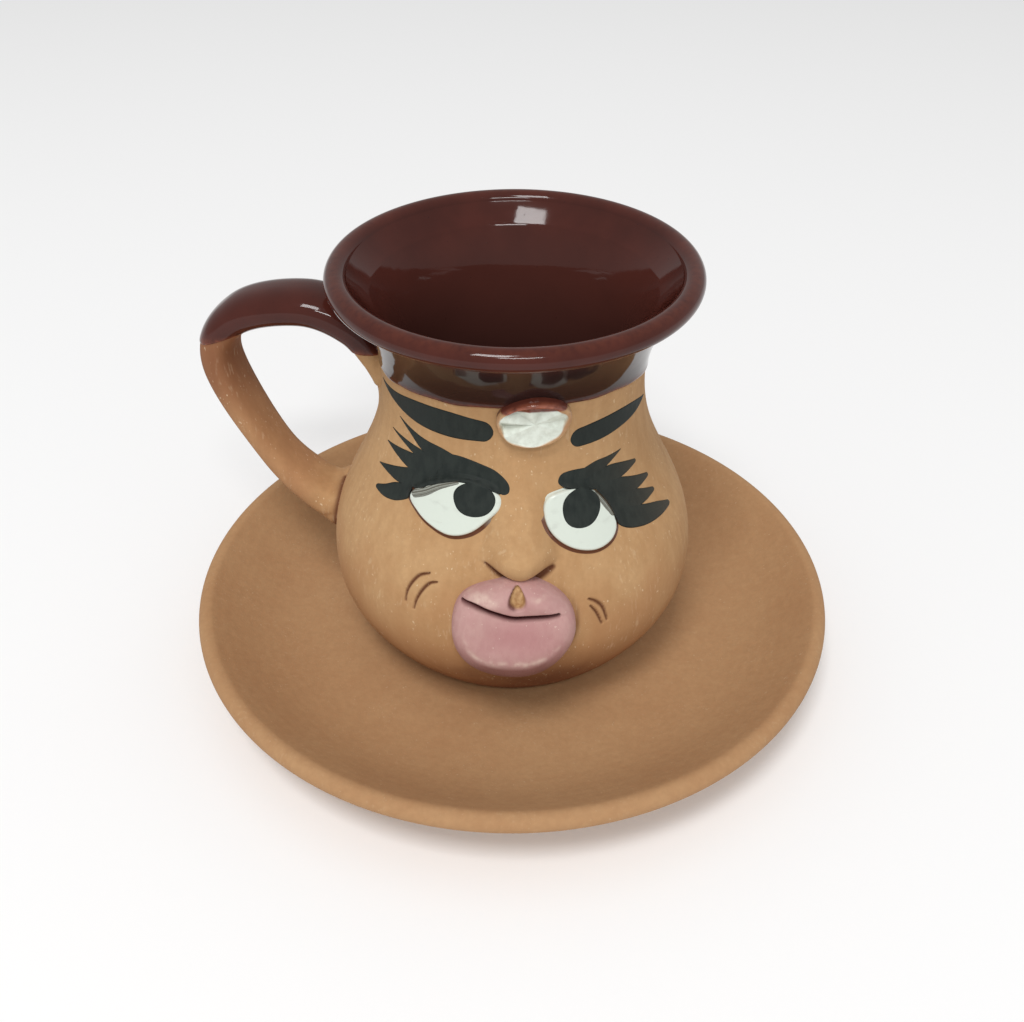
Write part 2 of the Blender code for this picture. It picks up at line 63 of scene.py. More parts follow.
# %% Camera
CAMERA_PLACE = (0, -216.4 * MM, 202.2 * MM)
CAMERA_PITCH = 37.42  # degrees below the horizontal
CAMERA_LENS = 40.92  # millimetres, on a sensor 36 mm wide

camera_data = bpy.data.cameras.new("camera")
camera_data.sensor_fit = "HORIZONTAL"
camera_data.sensor_width = 36
camera_data.lens = CAMERA_LENS
camera_data.clip_start = 1 * MM
camera = bpy.data.objects.new("camera", camera_data)
camera.location = CAMERA_PLACE
camera.rotation_euler = (math.radians(90 - CAMERA_PITCH), 0, 0)
bpy.context.scene.collection.objects.link(camera)
bpy.context.scene.camera = camera
print("camera at", CAMERA_PLACE)

# %% [markdown]
# ## The light
#
# Soft studio light: a pale surrounding light from everywhere, one square lamp high on the left that
# models the forms, and a narrow one in front that draws the long highlight on the glazed lip. A lamp's
# power is worked out from the brightness that it should give a white card at the cup.


# %% Lamps and surroundings
def soft_lamp(name, place, size, share, aim=(0, 0, 50 * MM)):
    """A rectangular lamp that lights a white card facing it at aim to the given share of white.

    Power = share x pi x pi x distance squared."""
    data = bpy.data.lights.new(name, "AREA")
    data.shape = "RECTANGLE"
    data.size, data.size_y = size
    lamp = bpy.data.objects.new(name, data)
    lamp.location = place
    direction = lamp.location - type(lamp.location)(aim)
    data.energy = share * math.pi**2 * direction.length_squared
    lamp.rotation_euler = direction.to_track_quat("Z", "Y").to_euler()
    bpy.context.scene.collection.objects.link(lamp)


SURROUND = 0.50  # brightness of the light from everywhere
soft_lamp("key", (-0.28, -0.85, 1.80), (0.55, 0.55), 0.45)
soft_lamp("front", (0.10, -1.45, 1.60), (0.75, 0.16), 0.22)

world = bpy.data.worlds.new("studio")
bpy.context.scene.world = world
world.use_nodes = True
background = world.node_tree.nodes["Background"]
background.inputs["Color"].default_value = (1, 1, 1, 1)
background.inputs["Strength"].default_value = SURROUND
bpy.context.scene.view_settings.view_transform = "Standard"

# %% [markdown]
# ## Writing shaders as expressions
#
# A shader tree can be wired node by node, but sums are easier to read as sums. One small class wraps a
# socket: operators add Math nodes, and one method adds every other kind of node.


# %% The wire class
class Wire:
    """A shader socket that can stand in a Python expression."""

    def __init__(self, tree, socket=None):
        self.tree, self.socket = tree, socket

    def node(self, kind, settings=None, sockets=None, out=0):
        """Adds a node: its settings first, then a value or a wire for each named or numbered socket."""
        made = self.tree.nodes.new("ShaderNode" + kind)
        for key, value in (settings or {}).items():
            setattr(made, key, value)
        for key, value in (sockets or {}).items():
            if isinstance(value, Wire):
                self.tree.links.new(value.socket, made.inputs[key])
            else:
                made.inputs[key].default_value = value
        return Wire(self.tree, made.outputs[out])

    def math(self, operation, first, second):
        return self.node("Math", {"operation": operation}, {0: first, 1: second})

    def __add__(self, other):
        return self.math("ADD", self, other)

    def __sub__(self, other):
        return self.math("SUBTRACT", self, other)

    def __rsub__(self, other):
        return self.math("SUBTRACT", other, self)

    def __mul__(self, other):
        return self.math("MULTIPLY", self, other)

    __radd__ = __add__
    __rmul__ = __mul__

    def step(self, low, high):
        """0 below low and 1 above high, smooth between. Low may be the larger, which turns it round."""
        ends = {"Value": self, "From Min": low, "From Max": high}
        return self.node("MapRange", {"interpolation_type": "SMOOTHSTEP"}, ends)

    def mix(self, first, second):
        """A colour between two colours or colour wires, with this wire as the share of the second."""
        first, second = ((*c, 1) if isinstance(c, tuple) else c for c in (first, second))
        sockets = {0: self, 6: first, 7: second}
        return self.node("Mix", {"data_type": "RGBA"}, sockets, out=2)

    def noise(self, scale, detail=3.0, stretch=(1, 1, 1)):
        """Smooth noise on the piece's own coordinates, with about scale blotches to a metre."""
        place = self.node("TexCoord", out="Object")
        place = self.node("VectorMath", {"operation": "MULTIPLY"}, {0: place, 1: stretch})
        sockets = {"Vector": place, "Scale": scale, "Detail": detail}
        return self.node("TexNoise", None, sockets, out="Fac")

    def height(self):
        """The height in the cup's own frame."""
        place = self.node("TexCoord", out="Object")
        return self.node("SeparateXYZ", None, {0: place}, out="Z")

    def marked(self, name):
        """A value that was worked out for each point of the piece."""
        return self.node("Attribute", {"attribute_name": name}, out="Fac")


def finish(name, **constants):
    """A new material with constants on its shader, and a first wire in it."""
    material = bpy.data.materials.new(name)
    material.use_nodes = True
    shader = material.node_tree.nodes["Principled BSDF"]
    for key, value in constants.items():
        shader.inputs[key.replace("_", " ").title().replace("Ior", "IOR")].default_value = value
    return material, Wire(material.node_tree)


def dress(material, colour, roughness, height, depth, **others):
    """Joins wires to a material's shader and gives the material back.

    The height wire makes bumps, depth metres from its 0 to its 1."""
    bump = {"Height": height, "Strength": 1.0, "Distance": depth}
    normal = height.node("Bump", None, bump, out="Normal")
    wires = {"Base Color": colour, "Roughness": roughness, "Normal": normal, **others}
    shader = material.node_tree.nodes["Principled BSDF"]
    for key, wire in wires.items():
        wire.tree.links.new(wire.socket, shader.inputs[key])
    return material


print("shader helper ready")

# %% [markdown]
# ## Fired clay
#
# Unglazed terracotta is matte and full of small things: pale crumbs of ground pot, long marks where a
# wet sponge was wiped down the wall, faint scratches, and blotches where the kiln was hotter. Each is a
# noise at its own size. The crumbs are the brightest tips of a very fine noise, and wipe marks and
# scratches are noises stretched along the height. The handle is of redder clay, so a value marked on
# each piece says how much of that colour shows, and it can fade where the handle joins the wall.

# %% Clay finishes
# Colour of the painted shade in cuts, joints and under the lips.
PAINTED_SHADE_BROWN = (0.115, 0.035, 0.014)
CRUMB_CREAM = (0.86, 0.70, 0.48)
STRAP_CHANGE = (52 * MM, 74 * MM)  # heights between which the handle's colour changes


def clay(name, dark, light, wipe=(1, 1, 0.1), crumbs=0.5, tints_and_painted_shade=(), strap=()):
    """Terracotta between two colours, with wipe marks, crumbs, scratches and a fine tooth.

    Each tint is a colour laid over it, the heights where it begins and is full, and its share there. On
    the belly the tints are partly the clay's own colour and partly painted shade.
    Strap is a dark and a light colour for the handle's lower part, and the same for its darker upper part,
    which is partly painted shade."""
    material, start = finish(name, specular_ior_level=0.25)
    blotch = start.noise(55, 4).step(0.3, 0.7)
    wiped = start.noise(420, 4, wipe).step(0.3, 0.72)
    tooth = start.noise(2600, 3)
    crumb = start.noise(1700, 1.5, (1, 1, 0.6)).step(0.67, 0.76) * start.noise(160, 2).step(0.40, 0.62)
    scratch = start.noise(1300, 3, (1, 1, 0.22)).step(0.56, 0.72) * start.noise(85, 2).step(0.46, 0.62)
    tone = 0.55 * blotch + 0.45 * wiped
    colour = tone.mix(dark, light)
    if strap:
        lower, upper = (tone.mix(*pair) for pair in strap)
        strap_colour = start.height().step(*STRAP_CHANGE).mix(lower, upper)
        colour = start.marked("strap").mix(colour, strap_colour)
    speckle = start.noise(900, 4).step(0.25, 0.75)
    colour = (0.16 * speckle).mix(colour, tuple(c * 0.62 for c in dark))
    level = start.height() + 34 * MM * (start.noise(95, 5) - 0.44)
    for shade, begins, full, share in tints_and_painted_shade:
        colour = (share * level.step(begins, full)).mix(colour, shade)
    # Painted shade: the clay is darkened in cuts, in joints and under the lips.
    colour = (0.95 * start.marked("crease")).mix(colour, PAINTED_SHADE_BROWN)
    colour = (crumbs * (crumb + 0.34 * scratch)).mix(colour, CRUMB_CREAM)
    height = 0.5 * tooth + 0.3 * wiped + 0.5 * crumb
    return dress(material, colour, 0.72 + 0.2 * tooth, height, 0.07 * MM)


# Towards the foot the belly turns redder and darker: partly the clay's own colour, partly painted shade.
belly_tints_and_painted_shade = [
    ((0.42, 0.205, 0.088), 50 * MM, 27 * MM, 0.65),
    ((0.15, 0.053, 0.028), 27 * MM, 12 * MM, 0.55),
]
# The handle darkens towards its top, partly painted shade.
strap_tones = [
    ((0.395, 0.198, 0.093), (0.485, 0.264, 0.127)),
    ((0.245, 0.100, 0.047), (0.310, 0.138, 0.066)),
]
cup_tones = (0.448, 0.252, 0.113), (0.552, 0.338, 0.166)
cup_clay = clay("cup_clay", *cup_tones, tints_and_painted_shade=belly_tints_and_painted_shade, strap=strap_tones)
saucer_clay = clay("saucer_clay", (0.42, 0.228, 0.108), (0.465, 0.268, 0.131), (1, 1, 1), 0.18)
print("clays:", cup_clay.name, saucer_clay.name)

# %% [markdown]
# ## Glaze and slips
#
# The glaze is iron glass: nearly black where it is thick, red-brown where it is thin, and so glossy
# that it shows the lamps. One smooth shader is enough, as long as the surface is slightly uneven,
# because a perfect surface would look like plastic. The slips are coloured clays, brushed on thin, and
# what makes each look hand-painted is where it is worn, thin or gathered. The pieces mark those places.


# %% Glaze and slips
def glaze(name):
    """Dark red-brown glass: nearly black where it is marked pooled, lighter and browner inside as painted
    light, redder where thin.
    """
    material, start = finish(name, specular_ior_level=0.26)
    cloud = start.noise(90, 3).step(0.3, 0.75)
    colour = cloud.mix((0.056, 0.0135, 0.0095), (0.074, 0.0175, 0.0120))
    colour = start.marked("pooled").mix(colour, (0.021, 0.0105, 0.0092))
    # Painted light: the inside of the cup is made lighter.
    colour = start.marked("inside").mix(colour, (0.085, 0.030, 0.0235))
    thin = start.marked("thin") * start.noise(700, 2).step(0.2, 0.7)
    colour = thin.mix(colour, (0.23, 0.062, 0.03))
    pinhole = start.noise(1500, 1).step(0.76, 0.80)
    colour = (0.5 * pinhole).mix(colour, (0.02, 0.006, 0.005))
    height = start.noise(120, 2) + 0.1 * pinhole
    return dress(material, colour, 0.05 + 0.05 * cloud, height, 0.10 * MM)


def white_slip(name):
    """White slip with a thin shine, a little grey where the brush left it thin, dark red-brown at its
    low edge, which is red slip and painted shade.
    """
    material, start = finish(name, coat_weight=0.25, coat_roughness=0.12)
    thin = start.noise(260, 4, (1, 1, 2.2)).step(0.52, 0.78)
    colour = (0.55 * thin).mix((0.675, 0.730, 0.650), (0.54, 0.575, 0.51))
    speck = start.noise(1300, 1).step(0.77, 0.80)
    colour = (0.5 * speck).mix(colour, (0.30, 0.16, 0.09))
    colour = start.marked("edge").mix(colour, (0.140, 0.047, 0.023))
    return dress(material, colour, 0.34 + 0.2 * thin, start.noise(500, 3), 0.06 * MM)


def black_slip(name):
    """Brushed black slip: browner where it covers less, and down to the brush's hair streaks where it
    hardly covers."""
    material, start = finish(name, specular_ior_level=0.2)
    drag = start.noise(700, 3, (1, 1, 0.4)).step(0.3, 0.7)
    colour = drag.mix((0.014, 0.0190, 0.0170), (0.025, 0.0310, 0.0275))
    side = {"W": start.marked("side"), "Scale": 7.0, "Detail": 2.0}
    streak = start.node("TexNoise", {"noise_dimensions": "1D"}, side, out="Fac").step(0.3, 0.7)
    cover = start.marked("cover")
    colour = ((0.08 + 0.05 * streak) * cover.step(1.0, 0.7)).mix(colour, (0.50, 0.32, 0.17))
    alpha = (cover + 0.3 * (streak - 0.5)).step(0.1, 0.62)
    return dress(material, colour, 0.55 + 0.18 * drag, drag, 0.03 * MM, Alpha=alpha)


def pink_slip(name):
    """Pink slip, rubbed pale on the high edge and bare clay in the notch. Painted shade makes the mouth's
    slit and the notch's left side deep red, and the underside darker."""
    material, start = finish(name, specular_ior_level=0.3)
    cloud = start.noise(150, 4).step(0.3, 0.72)
    grain = start.noise(900, 3, (1, 1, 0.45)).step(0.3, 0.7)
    colour = (0.6 * cloud + 0.4 * grain).mix((0.452, 0.236, 0.224), (0.526, 0.317, 0.289))
    colour = (0.7 * start.marked("blush")).mix(colour, (0.432, 0.195, 0.197))
    worn = start.marked("worn") * start.noise(420, 4).step(0.36, 0.7)
    colour = (0.85 * worn).mix(colour, (0.72, 0.56, 0.46))
    speck = start.noise(1500, 1).step(0.72, 0.77)
    colour = (0.45 * speck).mix(colour, (0.78, 0.62, 0.52))
    # Painted shade on the underside, which faces down.
    colour = (0.9 * start.marked("under")).mix(colour, (0.19, 0.075, 0.060))
    bare_clay = grain.mix((0.36, 0.19, 0.075), (0.58, 0.37, 0.18))
    colour = start.marked("notch").mix(colour, bare_clay)
    # Painted shade in the mouth's slit and on the notch's left side.
    colour = start.marked("mouth").mix(colour, (0.075, 0.012, 0.013))
    return dress(material, colour, 0.58 + 0.2 * grain, grain + 0.5 * speck, 0.05 * MM)


cup_glaze = glaze("brown_glaze")
eye_slip = white_slip("white_slip")
paint_slip = black_slip("black_slip")
lip_slip = pink_slip("pink_slip")
print("slips and glaze:", [m.name for m in (cup_glaze, eye_slip, paint_slip, lip_slip)])

# %% [markdown]
# ## Rings of points
#
# Every piece here is a stack of closed rings: a thrown pot, a strap, a pressed pad and a brush stroke
# alike. A first or last ring drawn together to one point becomes a pole. So one function turns such a
# stack into a closed mesh, and each piece only has to say where its points are.


# %% Mesh helper
def piece(name, stacks, material, body, slot, replaced=(), **marks):
    """A closed mesh from stacks of rings, each an array of (rings, points round, 3).

    Quads join each point to the next on its ring and to the next ring. Marks are values for each
    point, one array to a stack."""
    faces, first = [], 0
    for stack in stacks:
        index = first + np.arange(stack.shape[0] * stack.shape[1]).reshape(stack.shape[:2])
        turned = np.roll(index, -1, 1)
        faces.append(np.stack([index[:-1], turned[:-1], turned[1:], index[1:]], -1).reshape(-1, 4))
        first += index.size
    faces = np.vstack(faces)
    mesh = bpy.data.meshes.new(name)
    mesh.vertices.add(first)
    mesh.vertices.foreach_set("co", np.concatenate([s.ravel() for s in stacks]).astype(np.float32))
    mesh.loops.add(faces.size)
    mesh.loops.foreach_set("vertex_index", faces.ravel())
    mesh.polygons.add(len(faces))
    mesh.polygons.foreach_set("loop_start", np.arange(0, faces.size, 4))
    mesh.update(calc_edges=True)
    for key, values in marks.items():
        layer = mesh.attributes.new(key, "FLOAT", "POINT")
        spread_out = [np.broadcast_to(v, s.shape[:2]).ravel() for v, s in zip(values, stacks)]
        layer.data.foreach_set("value", np.concatenate(spread_out).astype(np.float32))
    shape = bmesh.new()
    shape.from_mesh(mesh)
    bmesh.ops.remove_doubles(shape, verts=shape.verts, dist=1e-7)
    bmesh.ops.recalc_face_normals(shape, faces=shape.faces)
    shape.to_mesh(mesh)
    shape.free()
    mesh.shade_smooth()
    mesh.materials.append(material)
    obj = bpy.data.objects.new(name, mesh)
    bpy.context.scene.collection.objects.link(obj)
    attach(obj, body)
    if replaced:
        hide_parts(*replaced)
    print(name, len(mesh.polygons), "faces")


print("mesh helper ready")

# %% [markdown]
# ## A few curves
#
# The same curves come back in every piece: a bell for a soft spot, a ramp for a soft edge, a quarter of
# a circle for a rounded one, and smooth lines through points. They are written once, here.


# %% Curves
def bell(distance, width):
    """1 in the middle and falling softly to 0: e to the minus square of distance over width."""
    return np.exp(-((distance / width) ** 2))


def ramp(value, low, high):
    """0 at low, 1 at high, straight between and level outside. Low may be the larger."""
    return np.clip((value - low) / (high - low), 0, 1)


def soft_ramp(value, low, high):
    """A ramp that starts and ends level: three squares less two cubes of it."""
    t = ramp(value, low, high)
    return t * t * (3 - 2 * t)


def quarter_round(t):
    """The height of a quarter of a circle, 1 at 0 and 0 at 1."""
    return np.sqrt(1 - t**2)


def signed_power(values, power):
    """A power of the size of values, with their sign."""
    return np.sign(values) * np.abs(values) ** power


def dense(start, stop, count, *stretches):
    """Count values from start to stop, closer by the given factor in each (low, high, factor)."""
    fine = np.linspace(start, stop, 6000)
    weight = np.ones_like(fine)
    for low, high, factor in stretches:
        weight += (factor - 1) * ((fine > low) & (fine < high))
    run = np.concatenate([[0], np.cumsum(weight[1:])])
    return np.interp(np.linspace(0, run[-1], count), run, fine)


def bezier(count, *corners, last=True):
    """Points of a cubic curve with the given four corners, with or without its last point."""
    t = np.linspace(0, 1, count, endpoint=last)[:, None]
    weights = (1 - t) ** 3, 3 * t * (1 - t) ** 2, 3 * t * t * (1 - t), t**3
    return sum(w * np.array(c, float) for w, c in zip(weights, corners))


def arc(count, centre, radius, start, end):
    """Points of a circle's arc, in degrees from outwards, turning up."""
    angle = np.radians(np.linspace(start, end, count))[:, None]
    return np.array(centre) + radius * np.hstack([np.cos(angle), np.sin(angle)])


def offset(points, distance):
    """A (radius, height) line that runs upwards, moved out square to itself."""
    slope = np.gradient(points, axis=0)
    out = np.stack([slope[:, 1], -slope[:, 0]], 1)
    return points + distance * out / np.linalg.norm(out, axis=1)[:, None]


def through(points, count, closed=False):
    """A smooth line through points, evenly along its length: each stretch is a cubic that leaves and
    arrives along the line between its neighbours."""
    points = np.array(points, float)
    if closed:
        padded = np.vstack([points[-1:], points, points[:2]])
    else:
        padded = np.vstack([2 * points[0] - points[1], points, 2 * points[-1] - points[-2]])
    pieces = []
    for before, start, end, after in zip(padded, padded[1:], padded[2:], padded[3:]):
        leave, arrive = (end - before) / 6, (after - start) / 6
        pieces.append(bezier(40, start, start + leave, end - arrive, end, last=False))
    line = np.vstack(pieces + [padded[1:2] if closed else points[-1:]])
    run = np.concatenate([[0], np.cumsum(np.linalg.norm(np.diff(line[:, :2], axis=0), axis=1))])
    at = np.linspace(0, run[-1], count, endpoint=not closed)
    return np.stack([np.interp(at, run, column) for column in line.T], 1)


print("curves ready")

# %% [markdown]
# ## The cup's wall
#
# The belly, shoulder and flaring neck are three curves joined smoothly, the same ones as in the solid.
# Everything on the face is placed on this wall by an azimuth and a height, and lifted along the wall's
# own normal, so that it lies on the clay from every side.

# %% Wall
body_low, body_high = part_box("cup_body")
FOOT_Z, BELLY_R = body_low.z, body_high.x
FOOT_R = 28 * MM
BELLY_RISE = 24.3 * MM
NECK_R = 28.1 * MM
SHOULDER_RISE = 46.4 * MM
LIP_RISE = 20.5 * MM
LIP_R = 38.45 * MM
LIP_ROLL = 2.35 * MM
LIP_ENDS = (-120, 165)  # degrees, where the rolled lip leaves the wall and where it ends inside
WALL = 4.2 * MM
FLOOR_Z = FOOT_Z + 6 * MM
BELLY_Z = FOOT_Z + BELLY_RISE
NECK_Z = BELLY_Z + SHOULDER_RISE
LIP_Z = NECK_Z + LIP_RISE
FLARE_PULL = 0.55 * math.sqrt(0.5) * BELLY_RISE


def lip_arc(count, inset=0.0):
    """(radius, height) points round the rolled lip, inset by a distance."""
    return arc(count, (LIP_R - LIP_ROLL, LIP_Z), LIP_ROLL - inset, *LIP_ENDS)


lip_root = lip_arc(2)[0]
wall_corners = [
    (FOOT_R, FOOT_Z),
    (FOOT_R + FLARE_PULL, FOOT_Z + FLARE_PULL),
    (BELLY_R, BELLY_Z - 0.33 * BELLY_RISE),
    (BELLY_R, BELLY_Z),
    (BELLY_R, BELLY_Z + 0.4 * SHOULDER_RISE),
    (NECK_R, NECK_Z - 0.47 * SHOULDER_RISE),
    (NECK_R, NECK_Z),
    (NECK_R, NECK_Z + 0.45 * LIP_RISE),
    (lip_root[0] - LIP_ROLL, lip_root[1] - 0.2 * LIP_RISE),
    lip_root,
]
belly_line, shoulder_line, neck_line = (
    bezier(count, *wall_corners[first : first + 4]) for first, count in ((0, 120), (3, 160), (6, 100))
)
wall_line = np.vstack([belly_line, shoulder_line[1:], neck_line[1:]])
wall_normal = offset(wall_line, 1.0) - wall_line


def radius_at(height):
    """The wall's radius at a height."""
    return np.interp(height, wall_line[:, 1], wall_line[:, 0])


def on_wall(azimuth, height, lift):
    """The wall's point at an azimuth (degrees, 0 along -Y, positive to +X) and a height: the profile's
    radius turned about Z, moved out by lift along the profile's normal."""
    turn = np.radians(azimuth)
    radius = radius_at(height) + lift * np.interp(height, wall_line[:, 1], wall_normal[:, 0])
    level = height + lift * np.interp(height, wall_line[:, 1], wall_normal[:, 1])
    parts = np.broadcast_arrays(radius * np.sin(turn), -radius * np.cos(turn), level)
    return np.stack(parts, -1)


def across(azimuth, height, middle):
    """Millimetres along the wall, sideways, from an azimuth."""
    return np.radians(azimuth - middle) * radius_at(height) / MM


def revolved(profile, columns):
    """Rings of a (radius, height) profile turned about Z, one ring to a profile point."""
    turn = np.radians(columns)
    radius, height = profile[:, :1], np.repeat(profile[:, 1:], len(turn), 1)
    return np.stack([radius * np.sin(turn), -radius * np.cos(turn), height], -1)


LEAN = 0.55 * MM  # how far the rim stands to one side


def cup_piece(name, stacks, material, slot, replaced=(), **marks):
    """A piece of the cup. Like many thrown pots it leans: each point moves sideways, more towards the
    rim, and everything on the wall leans with it."""
    leaning = []
    for stack in stacks:
        rise = np.clip((stack[..., 2:] - BELLY_Z) / (LIP_Z - BELLY_Z), 0, None)
        leaning.append(stack + LEAN * rise**1.5 * np.array([1.0, 0, 0]))
    piece(name, leaning, material, "cup", slot, replaced, **marks)


print("wall from", round(FOOT_Z / MM, 2), "to", round(lip_root[1] / MM, 2), "mm")

# %% [markdown]
# ## The saucer
#
# A saucer is a shallow dish on a foot ring, and a thrown one is never quite even. The profile is turned
# about Z, and two slow waves round the circle and a fine spiral of throwing marks are taken off it, so
# that it stays inside the solid's box.

# %% Saucer
_, saucer_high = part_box("saucer")
SAUCER_R = saucer_high.x
SAUCER_WALL = 4.4 * MM
SAUCER_SLOPE = math.radians(36)  # below the lip
SAUCER_FLAT = 44 * MM
SAUCER_FLOOR = 6.4 * MM
SAUCER_LIP_Z = 16 * MM
SAUCER_FOOT = (43 * MM, 38 * MM)  # outer and inner radius of the foot ring
SAUCER_LIFT = 2 * MM  # underside above the table
FLAT_POINTS, DISH_POINTS, ROLL_POINTS = 46, 44, 26
MARK_STEP = 2.3 * MM  # from one throwing mark to the next


def saucer_profile():
    """(radius, height) from the middle of the dish over the lip and back under the foot."""
    roll = SAUCER_WALL / 2
    turned = math.degrees(SAUCER_SLOPE)
    lip = arc(ROLL_POINTS, (SAUCER_R - roll, SAUCER_LIP_Z), roll, 90 + turned, turned - 90)
    slope = np.array([math.cos(SAUCER_SLOPE), math.sin(SAUCER_SLOPE)])
    run = SAUCER_R - SAUCER_FLAT
    start, pull = (SAUCER_FLAT, SAUCER_FLOOR), (SAUCER_FLAT + 0.45 * run, SAUCER_FLOOR)
    dish = bezier(DISH_POINTS, start, pull, lip[0] - 0.3 * run * slope, lip[0])
    under = offset(dish, SAUCER_WALL)[::-1]
    under = under[under[:, 0] > SAUCER_FOOT[0] + SAUCER_WALL]
    flat = np.stack([np.linspace(0, SAUCER_FLAT, FLAT_POINTS), np.full(FLAT_POINTS, SAUCER_FLOOR)], 1)
    outer, inner = SAUCER_FOOT
    edge = 0.6 * MM
    foot = [
        (outer + 1.2 * edge, SAUCER_LIFT + edge),
        (outer, SAUCER_LIFT),
        (outer - edge, edge * 0.4),
        (outer - 1.8 * edge, 0),
        (inner + 1.8 * edge, 0),
        (inner + edge, edge * 0.4),
        (inner, SAUCER_LIFT),
        (inner - 3 * MM, SAUCER_LIFT),
        (inner / 2, SAUCER_LIFT),
        (0, SAUCER_LIFT),
    ]
    return np.vstack([flat[:-1], dish[:-1], lip, under[1:], foot])


saucer_turn = np.linspace(-180, 180, 300, endpoint=False)
saucer_rings = revolved(saucer_profile(), saucer_turn)
saucer_radius = np.hypot(saucer_rings[..., 0], saucer_rings[..., 1])
angle = np.radians(saucer_turn)
upper = np.arange(len(saucer_rings))[:, None] < FLAT_POINTS + DISH_POINTS - 2 + ROLL_POINTS
wave = 0.5 - 0.3 * np.sin(2 * angle + 0.6) - 0.2 * np.sin(3 * angle + 2.0)
throwing = 0.5 + 0.5 * np.sin(saucer_radius / MARK_STEP * 2 * np.pi + angle)
saucer_rings[..., 2] -= upper * wave * 0.35 * MM * (saucer_radius / SAUCER_R) ** 2
saucer_rings[..., 2] -= upper * throwing * 0.035 * MM
piece("saucer_dish", [saucer_rings], saucer_clay, "saucer", "saucer_clay", ["saucer"])

# %% [markdown]
# ## The dip line
#
# The potter held the fired cup upside down, a little tilted, and dipped it. So the glaze ends on a
# tilted level all round: lower behind than in front, and at the same level on the handle. It is one
# function of place, used by every glazed piece. A few slow waves are where it ran.


# %% Where the glaze ends
def dip_level(x, y):
    """Height of the glaze's edge at a place: a tilted plane with slow waves."""
    turn = np.arctan2(x, -y)
    waves = 0.30 * np.sin(3 * turn + 0.5) + 0.18 * np.sin(8 * turn + 1.0) + 0.10 * np.sin(19 * turn)
    return (78.5 - 0.165 * y / MM + waves) * MM


GLAZE_THICK = 0.22 * MM
GLAZE_BED = 0.35 * MM  # how far the clay stays below the glaze's own outer face
fine_parts = (-122, -80, 2.0), (-80, 80, 1.6), (-37, -23, 3.4), (21, 30, 3.4), (-12, 16, 2.4)
azimuths = dense(-180, 180, 340, *fine_parts)[:-1]
edge_level = dip_level(NECK_R * np.sin(np.radians(azimuths)), -NECK_R * np.cos(np.radians(azimuths)))
print("glaze ends at", round(edge_level.min() / MM, 1), "to", round(edge_level.max() / MM, 1), "mm")

# %% [markdown]
# ## Tool marks and the nose's form
#
# Two short curved lines on each cheek, and the nostrils under the nose, were cut with a wooden tool.
# Painting them would do from afar, but a cut has a lit side and a dark side, so the wall is pushed in
# along each line, and the same distance paints shade into the clay at the bottom of the cut.
#
# The nose is a wedge of clay smeared into the face: no seam shows at its sides, only under its tip.
# So it is a swelling of the wall, highest near the tip. It falls off softly sideways, and below the
# tip it turns under in a quarter of an ellipse, which leaves the crease there.

# %% Cuts and nose
CUTS = [
    ([(-33.6, 38.8), (-33.6, 40.9), (-32.4, 43.2), (-30.1, 45.3), (-26.8, 46.4)], 0.34),
    ([(-30.5, 37.8), (-29.8, 40.3), (-28.2, 42.7), (-26.2, 44.4), (-23.9, 45.1)], 0.34),
    ([(23.6, 41.6), (26.1, 40.4), (28.0, 38.6), (29.2, 35.3)], 0.34),
    ([(23.9, 40.0), (25.8, 37.9), (27.4, 34.8)], 0.28),
    ([(-8.7, 50.6), (-6.6, 49.8), (-4.4, 48.8), (-1.6, 47.7)], 0.55),
    ([(5.8, 47.4), (8.4, 48.1), (10.6, 48.8), (13.2, 49.5)], 0.85),
]  # points of a line, azimuth in degrees and height in mm, and its half width in mm
CUT_DEPTH = 0.6 * MM
FAR = 1e3  # mm, further than anything on the cup


def cut_share(azimuth, height):
    """1 at the bottom of a cut, falling to 0 at its edges like a bell. A cut is widest in its middle."""
    share = 0.0
    for line, half in CUTS:
        points = through(line, 60)
        widths = half * (0.35 + 0.65 * np.sin(np.pi * np.linspace(0.1, 0.9, 60)))
        nearest = np.full(np.broadcast(azimuth, height).shape, FAR)
        for (turn, level), width in zip(points, widths):
            far = np.hypot(across(azimuth, height, turn), height / MM - level)
            nearest = np.minimum(nearest, far / width)
        share = np.maximum(share, bell(nearest, 1))
    return share


def clay_lift(azimuth, height):
    """How far the clay's face lies from the even wall: slow waves from throwing, never outwards."""
    turn = np.radians(azimuth)
    waves = np.sin(2 * turn + 1.0) * np.sin(height / (19 * MM)) + np.sin(3 * turn + height / (11 * MM))
    return (-0.10 + 0.05 * waves) * MM


NOSE_TURN = 2.4  # degrees
NOSE_TOP, NOSE_BOTTOM = 72.0, 47.5  # mm
NOSE_HEIGHT = 5.0 * MM


def nose_lift(azimuth, height):
    """Height of the nose above the wall: its ridge's height times a bell across, which starts flat. The
    line under it rises to both sides like a hyperbola."""
    side = across(azimuth, height, NOSE_TURN)
    bottom = NOSE_BOTTOM + 0.55 * (np.hypot(side, 2) - 2)
    down = np.clip((NOSE_TOP - height / MM) / (NOSE_TOP - bottom), 0, 1.2)
    ridge = ramp(down, 0, 0.88) ** 1.2
    half = 4.8 + 4.0 * ramp(down, 0, 1) ** 1.5
    across_it = np.clip(1 - (side / half) ** 2, 0, 1) ** 1.5
    return NOSE_HEIGHT * ridge * quarter_round(ramp(down, 0.85, 1)) * across_it


print("cuts:", len(CUTS))

# %% [markdown]
# ## Clay smeared from the handle
#
# Where the handle was pressed on, the thumb drew its clay down over the wall. It fills the corner below
# each end in a hollow curve. Wall and strap both rise to it, and meet in the middle of the corner. On
# the other sides next to nothing was smeared.

